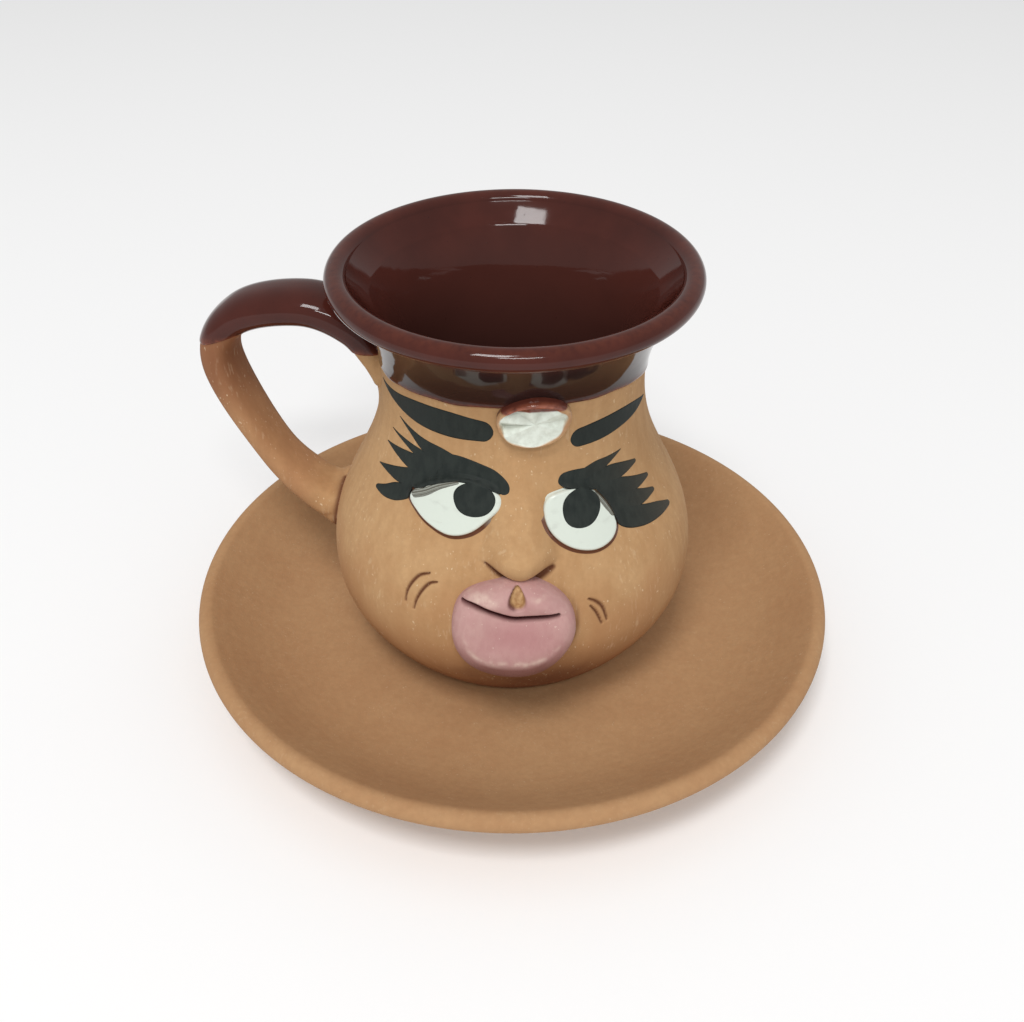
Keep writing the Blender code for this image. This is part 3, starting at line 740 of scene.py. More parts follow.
# %% Smears
HANDLE_AZIMUTH = -99  # degrees
STRAP_SLOPE = math.radians(38)  # how far the strap is from square to the wall
HANDLE_ENDS = [
    (77.4, (6.7, 6.0), (0.2, 8.0, 0.8, 0.8)),
    (37.8, (8.2, 4.5), (0.2, 11.0, 0.3, 1.0)),
]  # height, half width and half height, then the smear's reach above, below, in front and behind, mm


def smear(gap, up, front, reaches):
    """Height of smeared clay at a distance from the corner, mm: the round that touches wall and strap
    at its reach, up to the middle of the corner. Up and front are the parts of the direction."""
    reach = sum(np.clip(part, 0, None) ** 2 * r for part, r in zip((up, -up, front, -front), reaches))
    half_corner = math.pi / 4 - STRAP_SLOPE / 2 * up
    radius = reach * np.tan(half_corner)
    rise = radius - np.sqrt(radius**2 - np.clip(reach - gap, 0, radius) ** 2)
    return np.minimum(rise, radius * (1 - np.sin(half_corner)))


def end_smear(azimuth, height, level, halves, reaches):
    """The smear round one of the handle's ends, by the distance outside that end's oval, mm."""
    front, up = across(azimuth, height, HANDLE_AZIMUTH), height / MM - level
    far = np.maximum(np.hypot(front, up), 1e-6)
    outside = far - far / np.maximum(np.hypot(front / halves[0], up / halves[1]), 1e-6)
    return smear(outside, up / far, front / far, reaches)


def handle_smear(azimuth, height):
    """Height of the clay smeared over the wall round both ends of the handle."""
    return MM * np.maximum(*(end_smear(azimuth, height, *end) for end in HANDLE_ENDS))


def face_form(azimuth, height):
    """Height of the clay over the even wall with all that is modelled in it, and how much painted shade
    darkens the cuts.
    """
    cuts = cut_share(azimuth, height)
    lift = clay_lift(azimuth, height) + nose_lift(azimuth, height) + handle_smear(azimuth, height)
    return lift - CUT_DEPTH * cuts, np.clip(1.5 * cuts - 0.1, 0, 1)


print("smears:", len(HANDLE_ENDS))

# %% [markdown]
# ## Where the lips will sit
#
# The lips are one thick round pad, tilted up so that its top runs into the wall. Its own plane is set
# out first, because the joint round its lower side shows as a dark line on the body, with painted shade
# strongest below and to the right.

# %% Plane of the lips
LIPS_TURN = math.radians(0.3)
LIPS_TILT = math.radians(15)
LIPS_LEVEL = BELLY_Z + 6.5 * MM
LIPS_HALF = (12.7, 11.35)  # mm
LIPS_OUT = 4.4 * MM

lips_reach = radius_at(LIPS_LEVEL) + LIPS_OUT * math.cos(LIPS_TILT)
sideways, ahead = math.sin(LIPS_TURN), -math.cos(LIPS_TURN)
lips_level = LIPS_LEVEL + LIPS_OUT * math.sin(LIPS_TILT)
lips_centre = np.array([lips_reach * sideways, lips_reach * ahead, lips_level])
axis_right = np.array([-ahead, sideways, 0])
axis_out = np.array([sideways * math.cos(LIPS_TILT), ahead * math.cos(LIPS_TILT), math.sin(LIPS_TILT)])
axis_up = np.cross(axis_out, axis_right)


def lips_edge(bearing):
    """The lips' outline at a bearing, (right, up) in mm: an ellipse, uneven, and a little squared
    above."""
    wobble = 1 + 0.012 * np.sin(2 * bearing + 0.5) + 0.010 * np.sin(5 * bearing + 1.2)
    wobble = wobble + 0.03 * bell(bearing % (2 * np.pi) - 2.4, 0.4)
    circle = np.stack([np.cos(bearing), np.sin(bearing)], -1)
    power = np.where(circle[..., 1:] < 0, 1.0, 0.90)
    return signed_power(circle, power) * wobble[..., None] * LIPS_HALF


def lips_joint_and_shade(points):
    """1 on the line where the lips' side meets the body: a dark joint and painted shade, strongest below
    and to the right.
    """
    right, up = (points - lips_centre) @ axis_right / MM, (points - lips_centre) @ axis_up / MM
    bearing = np.arctan2(up / LIPS_HALF[1], right / LIPS_HALF[0])
    share = np.hypot(right, up) / np.linalg.norm(lips_edge(bearing), axis=-1)
    strength = np.clip(0.35 - 0.65 * up / LIPS_HALF[1] + 0.4 * right / LIPS_HALF[0], 0, 1)
    return bell(share - 1.02, 0.045) * strength * (points[..., 1] < 0)


print("lips at", np.round(lips_centre / MM, 1), "mm")

# %% [markdown]
# ## The thrown body
#
# The body is one wall turned about Z: under the foot, up the outside, over the lip and down the inside
# to the floor. Its rings are closer together where the cuts are. Above the dip line the clay is drawn
# in a little, to make room for the glaze. Below the lips a painted shadow of the lips darkens it.

# %% Body
RECESS_R, RECESS = 21 * MM, 1.5 * MM  # radius and depth of the hollow under the foot
# Where the painted shadow of the lips lies on the belly.
LIPS_SHADOW_TURN, LIPS_SHADOW_SPREAD = 7, 23  # degrees
LIPS_SHADOW_TOP, LIPS_SHADOW_FULL = 31 * MM, 21 * MM


def down_inside(step, depth, floor_points, floor_z):
    """(radius, height) down the inside, depth behind the wall line, and over a rounded corner to the
    middle of the floor."""
    line = offset(wall_line[::step], -depth)[::-1]
    line = line[(line[:, 1] > FLOOR_Z) & (line[:, 1] < LIP_Z - LIP_ROLL)]
    corners = [(line[-1, 0] * share, floor_z) for share in (0.9, 0.8, 0.5)]
    return np.vstack([line, bezier(floor_points, line[-1], *corners)[1:], [(0, floor_z)]])


levels = dense(FOOT_Z, lip_root[1], 225, (34 * MM, 52 * MM, 2.6), (72 * MM, 86 * MM, 1.3))
wall_azimuth, wall_level = np.meshgrid(azimuths, levels)
glazed = 1 / (1 + np.exp(-np.clip((wall_level - edge_level) / (0.25 * MM), -40, 40)))
form, dark = face_form(wall_azimuth, wall_level)
outside = on_wall(wall_azimuth, wall_level, form - GLAZE_BED * glazed)
under_foot = np.array(
    [
        (0, FOOT_Z + RECESS),
        (RECESS_R * 0.6, FOOT_Z + RECESS),
        (RECESS_R - RECESS, FOOT_Z + RECESS),
        (RECESS_R - 0.2 * RECESS, FOOT_Z + 0.2 * RECESS),
        (RECESS_R + 0.3 * RECESS, FOOT_Z),
        (FOOT_R - 1.2 * MM, FOOT_Z),
    ]
)
top_and_inside = np.vstack([lip_arc(20, GLAZE_BED)[1:], down_inside(12, WALL - GLAZE_BED, 10, FLOOR_Z)])
body_rings = np.vstack([revolved(under_foot, azimuths), outside, revolved(top_and_inside, azimuths)])
# Painted shadow of the lips on the clay below them.
lips_shadow = bell(wall_azimuth - LIPS_SHADOW_TURN, LIPS_SHADOW_SPREAD) * ramp(wall_level, LIPS_SHADOW_TOP, LIPS_SHADOW_FULL)
dark = np.maximum(np.maximum(dark, 0.9 * lips_joint_and_shade(outside)), 0.82 * lips_shadow)
crease = np.zeros(body_rings.shape[:2])
crease[len(under_foot) : len(under_foot) + len(levels)] = dark
cup_piece("thrown_body", [body_rings], cup_clay, "cup_clay", ["cup_body"], crease=[crease])

# %% [markdown]
# ## The glazed neck, lip and inside
#
# A coat of glaze could be a colour on the body, but then its edge would be a painted line. Here it is
# a thin shell of its own: it starts in a rounded edge on the neck, runs over the lip and covers the
# inside, and its back is sunk in the clay. It is thin, and so redder, at its edge and on the lip. While
# the cup stood on its rim to dry, the glaze gathered on the neck, where it is nearly black.

# %% Glaze shell
LIP_STEPS = 36
INSIDE_ROWS = 25  # rows over which the lip's colour turns into that of the inside

share = dense(0, 1, 60, (0, 0.08, 3))[:, None]
coat_level = edge_level + (lip_root[1] - edge_level) * share
bead = ramp(coat_level - edge_level, 0, 0.5 * MM)
coat_lift = GLAZE_THICK * quarter_round(1 - bead) * (1 + 0.5 * bell(share, 0.06)) * (1 - share**2)
coat_lift = coat_lift - 0.06 * MM * (1 - bead) + handle_smear(azimuths, coat_level)
coat_outside = on_wall(azimuths, coat_level, coat_lift)
lip_line = lip_arc(LIP_STEPS)[1:]
front_line = np.vstack([lip_line, down_inside(4, WALL, 16, FLOOR_Z + 0.3 * MM)])
back_line = offset(wall_line[::6], -2.2 * MM)
back_line = back_line[(back_line[:, 1] > FOOT_Z + 3 * MM) & (back_line[:, 1] < 72 * MM)]
back_line = np.vstack([[(0, FOOT_Z + 3 * MM)], back_line])
sunk = on_wall(azimuths, edge_level[None] - 0.1 * MM, -1.2 * MM)
inside_and_lip = revolved(front_line, azimuths)
glaze_rings = np.vstack([revolved(back_line, azimuths), sunk, coat_outside, inside_and_lip])

lip_start = len(back_line) + 1 + len(share)
lip_end = lip_start + len(lip_line)
thin, pooled = np.zeros((2, len(glaze_rings), 1))
thin[lip_start - len(share) : lip_start] = 0.8 * bell(share, 0.05)
thin[lip_start:lip_end] = 0.16 * bell(np.linspace(*LIP_ENDS, LIP_STEPS)[1:, None] - 75, 40)
pooled[lip_start - len(share) : lip_start] = 0.85 * ramp(share, 0, 0.15) * ramp(share, 1, 0.7)
# Where the painted light inside the cup begins.
inside = ramp(np.arange(len(glaze_rings))[:, None], lip_end, lip_end + INSIDE_ROWS)
marks = {"thin": [thin], "pooled": [pooled], "inside": [inside]}
cup_piece("glaze_coat", [glaze_rings], cup_glaze, "brown_glaze", **marks)

# %% [markdown]
# ## The pulled handle
#
# A handle is pulled from a wet lump into a strap, bent, and pressed on at both ends. So an oval section
# is carried along a curve in one plane, and it swells towards its lower end. Near the wall its colour
# fades into the wall's, and on the front of its foot painted shade draws the joint as a dark line.

# %% Handle
HANDLE_TURN = math.radians(-90 - HANDLE_AZIMUTH)
STRAP = (13.4 * MM, 8.0 * MM)  # width and thickness
STRAP_STEPS = 240
EVEN_STEPS = 43  # steps over which the rings' turn is evened out
BURIED = 2.6 * MM  # how far the strap's ends reach into the wall


def between(start, end, out_share, up_share):
    """A point part of the way between two (out, height) points."""
    return start[0] + (end[0] - start[0]) * out_share, start[1] + (end[1] - start[1]) * up_share


root = (radius_at(NECK_Z - 1.5 * MM), NECK_Z - 1.5 * MM)
foot = (radius_at(BELLY_Z + 7 * MM), BELLY_Z + 7 * MM)
top = (NECK_R + 17 * MM, NECK_Z + 9.6 * MM)
reach = (BELLY_R + 23.9 * MM, BELLY_Z + 41 * MM)
handle_points = [
    (root[0] - 5.0 * MM, root[1] - 3.5 * MM),
    root,
    between(root, top, 0.36, 0.66),
    top,
    between(top, reach, 0.73, 0.24),
    reach,
    between(foot, reach, 0.60, 0.33),
    between(foot, reach, 0.18, 0.015),
    foot,
    (foot[0] - 3 * MM, foot[1] - 1 * MM),
]
SWELL = [1, 1, 1, 1, 1, 1, 0.9, 1.05, 1.2, 1.25]
strap_line = through(np.column_stack([handle_points, SWELL]), STRAP_STEPS)
strap_path, strap_swell = strap_line[:, :2], strap_line[:, 2:]
strap_run = np.linspace(0, 1, STRAP_STEPS)[:, None]
strap_length = np.linalg.norm(np.diff(strap_path, axis=0), axis=1).sum()
# The rings turn evenly over a bend, so that none of them cross.
even = np.hanning(EVEN_STEPS) / np.hanning(EVEN_STEPS).sum()
steps = np.pad(np.gradient(strap_path, axis=0), ((EVEN_STEPS // 2,) * 2, (0, 0)), mode="edge")
tangent = np.stack([np.convolve(steps[:, k], even, "valid") for k in (0, 1)], 1)
tangent /= np.linalg.norm(tangent, axis=1)[:, None]
outer_side = np.stack([-tangent[:, 1], tangent[:, 0]], 1)


def strap_rings(grow, turns):
    """Rings of the strap: at each point of its path an oval, width across the plane and thickness in
    it, as powers of cosine and sine. It grows by the smear near the wall, and ends inside it."""
    wide, thick = signed_power(np.cos(turns), 0.86), signed_power(np.sin(turns), 0.86)
    uneven = 1 + 0.02 * np.sin(9 * strap_run + 1) + 0.015 * np.sin(23 * strap_run)
    half_thick = STRAP[1] / 2 * strap_swell + grow
    sideways = (STRAP[0] / 2 * strap_swell + grow) * wide * uneven
    in_plane = half_thick * thick + 0.10 * half_thick * (1 - wide**2) * (thick < 0)
    out, level = (strap_path[:, [k]] + outer_side[:, [k]] * in_plane for k in (0, 1))
    gap = np.clip(np.hypot(out, sideways) - radius_at(level), 0, None) / (0.85 * MM)
    at_root, at_foot = (smear(gap, up, -wide, end[2]) for up, end in zip((thick, -thick), HANDLE_ENDS))
    grown = MM * np.where(strap_run < 0.5, at_root, at_foot)
    sideways = sideways + wide * grown
    in_plane = in_plane + thick * grown
    out, level = (strap_path[:, [k]] + outer_side[:, [k]] * in_plane for k in (0, 1))
    buried = np.clip(radius_at(level) - BURIED, 0, None) ** 2 - sideways**2
    out = np.maximum(out, np.sqrt(np.clip(buried, 0, None)))
    x = -out * math.cos(HANDLE_TURN) + sideways * math.sin(HANDLE_TURN)
    y = out * math.sin(HANDLE_TURN) + sideways * math.cos(HANDLE_TURN)
    return np.stack([x, y, level], -1)


def capped(rings):
    """Rings with a pole at each end, in the middle of the last ring."""
    first, last = (np.repeat(r.mean(0)[None], len(r), 0)[None] for r in (rings[0], rings[-1]))
    return np.concatenate([first, rings, last])


strap_turns = np.linspace(0, 2 * np.pi, 80, endpoint=False)[None, :]
clay_strap = capped(strap_rings(-0.05 * MM, strap_turns))
x, y, level = np.moveaxis(clay_strap, -1, 0)
wall_gap = np.hypot(x, y) - radius_at(level)
on_front = y < np.tan(HANDLE_TURN) * -x
# Painted shade in the joint on the front of the handle's foot.
seam = bell(wall_gap, 0.8 * MM) * on_front * (level < BELLY_Z + 14 * MM)
marks = {"crease": [seam], "strap": [soft_ramp(wall_gap, 2 * MM, 11 * MM)]}
cup_piece("strap_handle", [clay_strap], cup_clay, "cup_clay", ["handle"], **marks)

# %% [markdown]
# The handle went into the glaze with the rim, so its coat ends at about the same level, drawn up on
# the inner side. For each line along the strap the places are found where it comes above that level
# and goes below it again, and the coat's rings are spread between them.


# %% Glaze on the handle
def handle_dip(x, y):
    """Height of the glaze's edge on the handle: that of the neck close by, and on the far side a line
    that rises towards the finger gap."""
    far = soft_ramp(-x, 34 * MM, 46 * MM)
    far_level = (81.7 + 0.36 * np.minimum(x / MM + 57, 0)) * MM
    return dip_level(x, y) * (1 - far) + far_level * far


COAT_SIDES = 100
coat_turns = np.linspace(0, 2 * np.pi, COAT_SIDES, endpoint=False)[None, :]
bare = strap_rings(0.0, coat_turns)
proud = strap_rings(GLAZE_THICK, coat_turns)
above = bare[..., 2] - handle_dip(bare[..., 0], bare[..., 1])
column = np.arange(COAT_SIDES)
rows = np.arange(STRAP_STEPS)[:, None]
top_row = above.argmax(0)
end_row = np.where((rows > top_row) & (above < 0), rows, STRAP_STEPS).min(0)
start_row = np.where((rows < top_row) & (above < 0), rows, -1).max(0)


def crossing(row):
    """The place between a row and the next where the strap crosses the glaze's edge."""
    return row + above[row, column] / (above[row, column] - above[row + 1, column])


coat_end = crossing(end_row - 1)
coat_start = np.where(start_row < 0, 0, crossing(np.clip(start_row, 0, None)))
coat_share = dense(0, 1, 130, (0.94, 1, 3), (0, 0.05, 3))[:, None]
row = coat_start + coat_share * (coat_end - coat_start)
low_row = np.clip(np.floor(row).astype(int), 0, STRAP_STEPS - 2)
part = (row - low_row)[..., None]
skin, raised = (r[low_row, column] * (1 - part) + r[low_row + 1, column] * part for r in (bare, proud))
to_edge = np.minimum(coat_end - row, np.where(start_row < 0, FAR, row - coat_start))
to_edge = to_edge / STRAP_STEPS * strap_length
bead = quarter_round(1 - ramp(to_edge, 0, 0.6 * MM))[..., None]
coat = capped(skin + (raised - skin) * (bead * 1.3 - 0.3))
coat_thin = np.pad(0.9 * bell(to_edge, 1.2 * MM), ((1, 1), (0, 0)))
cup_piece("handle_glaze", [coat], cup_glaze, "brown_glaze", thin=[coat_thin])

# %% [markdown]
# ## Pads on the wall
#
# The eyes and the rosette were rolled flat, cut out and pressed on. A pad is an outline on the wall,
# drawn together ring by ring towards its middle, with a height for each ring: level in the middle,
# rounded at the edge, and then back into the wall.

# %% Pad helpers
FACE_TURN = 0.8  # degrees, the eyes' common shift to one side


def spread(outline, middle, shares):
    """Azimuths and heights at shares of the way from a middle to an outline, which are such pairs."""
    return np.moveaxis(middle + shares[..., None] * (outline - middle), -1, 0)


def in_metres(points):
    """(azimuth, height in mm) points of the face, with their heights in metres."""
    return np.array(points, float) * (1, MM) + (FACE_TURN, 0)


print("pad helpers ready")

# %% [markdown]
# ## The eyes
#
# Each eye is a white pad about a millimetre thick. Where it meets the clay below, a thin line of red
# slip was left, so the pad stands in a narrow foot of that colour, darkened by painted shade on its low
# side.

# %% Eyes
EYE_THICK = 1.25 * MM
EYE_SIDES = 240
EYE_OUTLINES = {
    "left_eye": [
        (-41.6, 59.4), (-36.5, 57.0), (-30.0, 55.4), (-22.5, 54.6), (-15.5, 55.8), (-9.5, 58.6),
        (-4.8, 61.4), (-5.6, 63.6), (-11.0, 65.4), (-19.5, 66.2), (-29.0, 65.0), (-36.5, 62.8),
    ],
    "right_eye": [
        (10.2, 60.6), (11.4, 57.0), (15.2, 54.1), (21.0, 51.9), (28.0, 50.9), (34.3, 51.8),
        (37.4, 54.5), (35.2, 59.0), (30.0, 62.4), (24.0, 63.8), (17.5, 63.7), (12.4, 62.9),
    ],
}
EYE_FOOT = np.array(
    [(1.0, 0, 0.15, 1), (1.03, 0.075, 0.06, 1), (1.05, 0.075, -0.3, 0), (0.9, 0, -0.6, 0), (0, 0, -0.6, 0)]
)  # share and how much it grows on the low side, height in mm and whether it follows the clay


def eye_lift(share):
    """Height of an eye's face over its share from middle to edge: a low dome with a rounded edge."""
    return EYE_THICK * ((1 - 0.12 * share**2) - 0.55 * (1 - quarter_round(ramp(share, 0.90, 1.0))))


eye_forms = {}
for name, points in EYE_OUTLINES.items():
    outline = through(in_metres(points), EYE_SIDES, closed=True)
    middle = outline.mean(0)
    eye_forms[name] = (outline, middle)
    rounded = 0.88 + 0.12 * np.sin(np.linspace(0.1, 1, 14) * np.pi / 2)
    shares = np.concatenate([np.linspace(0, 0.88, 30), rounded])[:, None] * np.ones(EYE_SIDES)
    below = (middle[1] - outline[:, 1]) / (4 * MM)
    beside = ramp(middle[0] - outline[:, 0], 0, 16)
    low_side = np.clip(below + 0.2 + 1.3 * beside, 0, 1)[None]
    foot_shares, grows, foot_lifts, follows = np.hsplit(EYE_FOOT, 4)
    foot_shares = foot_shares + grows * low_side
    ground = np.clip(face_form(*spread(outline, middle, foot_shares))[0], 0, None)
    foot_lifts = foot_lifts * MM + low_side * ground * follows
    all_shares = np.vstack([shares, foot_shares])
    rings = on_wall(*spread(outline, middle, all_shares), np.vstack([eye_lift(shares), foot_lifts]))
    # The dark red line on the low side is red slip and painted shade under the pad.
    red = ramp(all_shares, 0.975, 0.995) * low_side
    cup_piece(name + "_pad", [rings], eye_slip, "white_slip", [name], edge=[red])

# %% [markdown]
# ## Pupils
#
# A pupil is a round dab of black slip on the white, half under the lid of lashes. It is what gives the
# cup its sidelong look. To lie on the eye it has to know the eye's height at every place, so one
# function gives the height of the face, and paint is a thin layer over that.

# %% Pupils
FLAT_RADIUS = 33 * MM  # of the wall at the eyes, where it is unrolled to measure across
PAINT = 0.07 * MM
PUPILS = {
    "left_pupil": (-14.3, 62.5, 7.9, 3.45, 3),
    "right_pupil": (25.2, 59.7, 7.5, 3.95, -14),
}  # azimuth and height, half width in degrees, half height in mm, tilt in degrees


def eye_share(azimuth, height, outline, middle):
    """Share of the way from an eye's middle to its outline at a place on the wall: its distance from
    the middle over the outline's distance in that direction."""
    scale = np.array([np.radians(1) * FLAT_RADIUS, 1])
    flat = (outline - middle) * scale
    bearing = np.arctan2(flat[:, 1], flat[:, 0])
    order = np.argsort(bearing)
    distance = np.hypot(flat[:, 0], flat[:, 1])
    right, up = (azimuth - middle[0]) * scale[0], height - middle[1]
    limit = np.interp(np.arctan2(up, right), bearing[order], distance[order], period=2 * np.pi)
    return np.hypot(right, up) / limit


def face_lift(azimuth, height):
    """Height of the clay above the even wall or, where it lies, of an eye, with a ramp at its edge."""
    lift = clay_lift(azimuth, height) + nose_lift(azimuth, height)
    for outline, middle in eye_forms.values():
        share = eye_share(azimuth, height, outline, middle)
        over = np.clip(eye_lift(np.clip(share / 1.04, 0, 1)) - lift, 0, None)
        lift = lift + over * soft_ramp(share, 1.16, 1.05)
    return lift


for name, (turn, level, half_turn, half_level, tilt) in PUPILS.items():
    bearing = np.linspace(0, 2 * np.pi, 120, endpoint=False)
    ripple = 1 + 0.015 * np.sin(3 * bearing + 1) + 0.01 * np.sin(5 * bearing)
    right, up = np.cos(bearing) * ripple, np.sin(bearing) * ripple
    lean = math.radians(tilt)
    right, up = right * math.cos(lean) - up * math.sin(lean), right * math.sin(lean) + up * math.cos(lean)
    shares = np.concatenate([np.linspace(0, 0.97, 40), [0.985, 1.0, 1.0, 0.0]])[:, None]
    place = turn + shares * half_turn * right, (level + shares * half_level * up) * MM
    layer = np.concatenate([np.full(40, PAINT), [0.8 * PAINT, 0.2 * PAINT, -0.3 * MM, -0.3 * MM]])
    rings = on_wall(*place, face_lift(*place) + layer[:, None])
    cup_piece(name, [rings], paint_slip, "black_slip", cover=[1.2])

# %% [markdown]
# ## Brows and lashes
#
# These are single brush strokes: the brush is pressed down, swells and is lifted to a point. A stroke
# is a flat lens carried along a line on the wall, as wide as the brush was pressed. It lies on the
# clay and climbs over the eyes, and each stroke lies a hair above the one before. A wash is a stroke
# of thin paint: it covers the white only in part, in the streaks of the brush.

# %% Stroke helper
STROKE_STEPS = 110
LENS = np.concatenate([np.linspace(-1, 1, 17), np.linspace(1, -1, 9)[1:-1]])  # over the top and back
ON_TOP = np.arange(len(LENS)) < 17


def stroke_rings(line, widths, layer):
    """Rings along a brush stroke on the wall, and each point's place across it in mm.

    Line is (azimuth, height in mm) points, and widths the half widths in mm there, rounded off at both
    ends. Each ring is a lens across the stroke, proud by the paint on top and sunk in the clay below."""
    unroll = np.array([np.radians(1) * FLAT_RADIUS / MM, 1 / MM])
    smooth = through(np.column_stack([in_metres(line) * unroll, widths]), STROKE_STEPS)
    flat, half = smooth[:, :2], np.clip(smooth[:, 2], 0.02, None)
    order = np.arange(STROKE_STEPS)
    to_end = np.minimum(order, order[::-1]) * np.linalg.norm(flat[1] - flat[0])
    half = half * quarter_round(1 - np.clip(to_end / half, 0.02, 1))
    along = np.gradient(flat, axis=0)
    along /= np.linalg.norm(along, axis=1)[:, None]
    side = np.stack([-along[:, 1], along[:, 0]], 1)
    reach = half[:, None] * LENS
    place = np.moveaxis((flat[:, None] + side[:, None] * reach[..., None]) / unroll, -1, 0)
    paint = (PAINT + layer * 0.012 * MM) * np.sqrt(1 - 0.9 * np.abs(LENS) ** 6)
    rings = on_wall(*place, face_lift(*place) + np.where(ON_TOP, paint, -0.35 * MM))
    return capped(rings), np.pad(reach, ((1, 1), (0, 0)))


def brushed(name, *strokes):
    """One piece of several strokes, each its line, its half widths and how well it covers at its start
    and at its end, where the brush is drier."""
    stacks, sides, covers = [], [], []
    for layer, (line, widths, (wet, dry)) in enumerate(strokes):
        rings, side = stroke_rings(line, widths, layer)
        along = np.linspace(0, 1, len(rings))[:, None]
        stacks.append(rings)
        sides.append(side)
        covers.append(wet + (dry - wet) * along**2)
    cup_piece(name, stacks, paint_slip, "black_slip", cover=covers, side=sides)


FULL, DRY, DRIER, WASH = (1.2, 1.2), (1.2, 0.94), (0.96, 0.80), (0.37, 0.37)

# %% Brows
left_line = [(-8.9, 76.9), (-12, 77.0), (-16, 77.1), (-28, 77.2), (-44, 77.1), (-60, 77.0), (-76, 77.2)]
right_line = [(22.8, 73.9), (25, 74.0), (28.5, 74.1), (38, 74.2), (50, 74.2), (62, 73.7), (76, 72.7)]
brushed("left_brow", (left_line, [2.0, 2.3, 2.5, 2.95, 2.6, 1.3, 0.03], DRY))
brushed("right_brow", (right_line, [1.7, 1.95, 2.15, 2.3, 2.05, 1.4, 0.03], DRY))

# %% Lashes
brushed(
    "left_lashes",
    ([(-40.2, 60), (-34.7, 61.6), (-28.8, 63.7), (-21.4, 65.5)], [0.9, 0.95, 0.65, 0.3], WASH),
    ([(-2.4, 64.5), (-7, 66.2), (-13, 67.5), (-24, 68), (-36, 66.8)], [1.2, 1.8, 2, 2.6, 2.6], FULL),
    ([(-12, 67.4), (-21, 66.9), (-28.9, 65.5), (-35.1, 63.9), (-42, 62.3)], [0.9, 1.1, 1.2, 1.2, 1], FULL),
    ([(-18, 68.2), (-30, 69.6), (-39.5, 70.3), (-48, 71.9), (-55.8, 73.4)], [1, 1.5, 1.4, 0.6, 0.03], DRY),
    ([(-30, 67.4), (-38, 67.7), (-45, 68.3), (-52, 68.9), (-60.8, 69.5)], [1.6, 1.3, 0.9, 0.5, 0.03], DRY),
    ([(-32, 66), (-40, 65.6), (-46, 65.6), (-54, 65.7), (-63.4, 65.8)], [1.8, 1.9, 1.75, 1, 0.04], DRY),
    ([(-34, 64.2), (-42, 62.8), (-50, 61.6), (-57, 61), (-65, 60.3)], [1.6, 1.9, 1.6, 0.9, 0.05], DRY),
    ([(-42, 60.6), (-46.5, 58.9), (-51, 57.8), (-56, 56.7), (-61.6, 56)], [1.6, 1.7, 1.75, 1.2, 0.4], DRY),
)
brushed(
    "right_lashes",
    ([(31.2, 61.8), (34.2, 58.9), (36.7, 56)], [0.6, 0.75, 0.5], WASH),
    ([(17, 65.4), (20, 65.6), (26, 65.3), (34, 64), (42, 61.5)], [1, 1.6, 1.9, 2.3, 2.4], DRY),
    ([(30.5, 64.2), (33, 63), (36.6, 60.3), (38.8, 57.3), (39.2, 54.8)], [0.8, 1, 1.1, 1.1, 0.9], DRIER),
    ([(26, 65.6), (34, 66.2), (40, 66.6), (48.5, 67.3)], [1.1, 1.4, 0.9, 0.05], DRIER),
    ([(30, 64), (40, 63.6), (47, 63.2), (56.7, 62.7)], [1.6, 1.9, 1.45, 0.35], DRIER),
    ([(34, 62), (44, 60), (52, 58.9), (62, 58)], [1.7, 2, 1.45, 0.4], DRIER),
    ([(36, 60), (45, 57.2), (53, 55.7), (62.3, 54.6)], [1.5, 2.1, 1.55, 0.4], DRIER),
    ([(37.5, 58.4), (42, 54.9), (50, 52.5), (60, 50.7), (68.5, 49.2)], [1, 2.3, 2.1, 1.5, 0.5], DRIER),
)

# %% [markdown]
# ## The nose
#
# The body already swells where the nose is. The nose's own piece is a skin over that swelling, and it
# dips into the body at its edge by a few hundredths of a millimetre, too little to see.

# %% Nose
NOSE_OUTLINE = [
    (2.4, 73.0), (9, 66), (13.5, 58), (16.5, 53), (15, 49.4), (9, 47.8), (2.4, 46.8),
    (-4.5, 47.8), (-10, 49.6), (-11.5, 53), (-8.5, 58), (-4.2, 66),
]  # azimuth in degrees, height in mm
nose_outline = through(NOSE_OUTLINE, 300, closed=True) * (1, MM)
nose_middle = np.array([NOSE_TURN, 54 * MM])
nose_shares = np.concatenate([np.linspace(0, 1, 150), [1.0, 0.0]])[:, None]
nose_place = spread(nose_outline, nose_middle, nose_shares)
dip_in = 0.02 * MM - 0.06 * MM * (1 - ramp(nose_lift(*nose_place), 0, 0.8 * MM))
nose_form, nose_dark = face_form(*nose_place)
nose_rise = nose_form + dip_in
nose_rise[-2:] = -1.0 * MM
nose_rings = on_wall(*nose_place, nose_rise)
cup_piece("face_nose", [nose_rings], cup_clay, "cup_clay", ["nose"], crease=[nose_dark])

# %% [markdown]
# ## The lips
#
# The pad's face is level in the middle and rounded at its edge, most of all below. The mouth is a bent
# slit cut with a wire tool, and the notch in the upper lip a dab with a pointed stick, down to bare
# clay. The pad is rings on its own plane, and the slit and notch lower its face by their distance.

# %% Lips
LIPS_SIDES = 260
LIPS_DEEP = 4.6  # how deep the rounded edge goes, mm
MOUTH = [
    (-10.2, 7.1), (-8.2, 6.9), (-6.0, 6.2), (-1.9, 4.5), (0.2, 4.0), (2.4, 4.1), (6.0, 4.4), (9.1, 4.7),
]  # mm
NOTCH_RIGHT, NOTCH_UP = 0.8, 8.5  # mm
NOTCH_HALF = (2.3, 2.4)  # half width and half height, mm

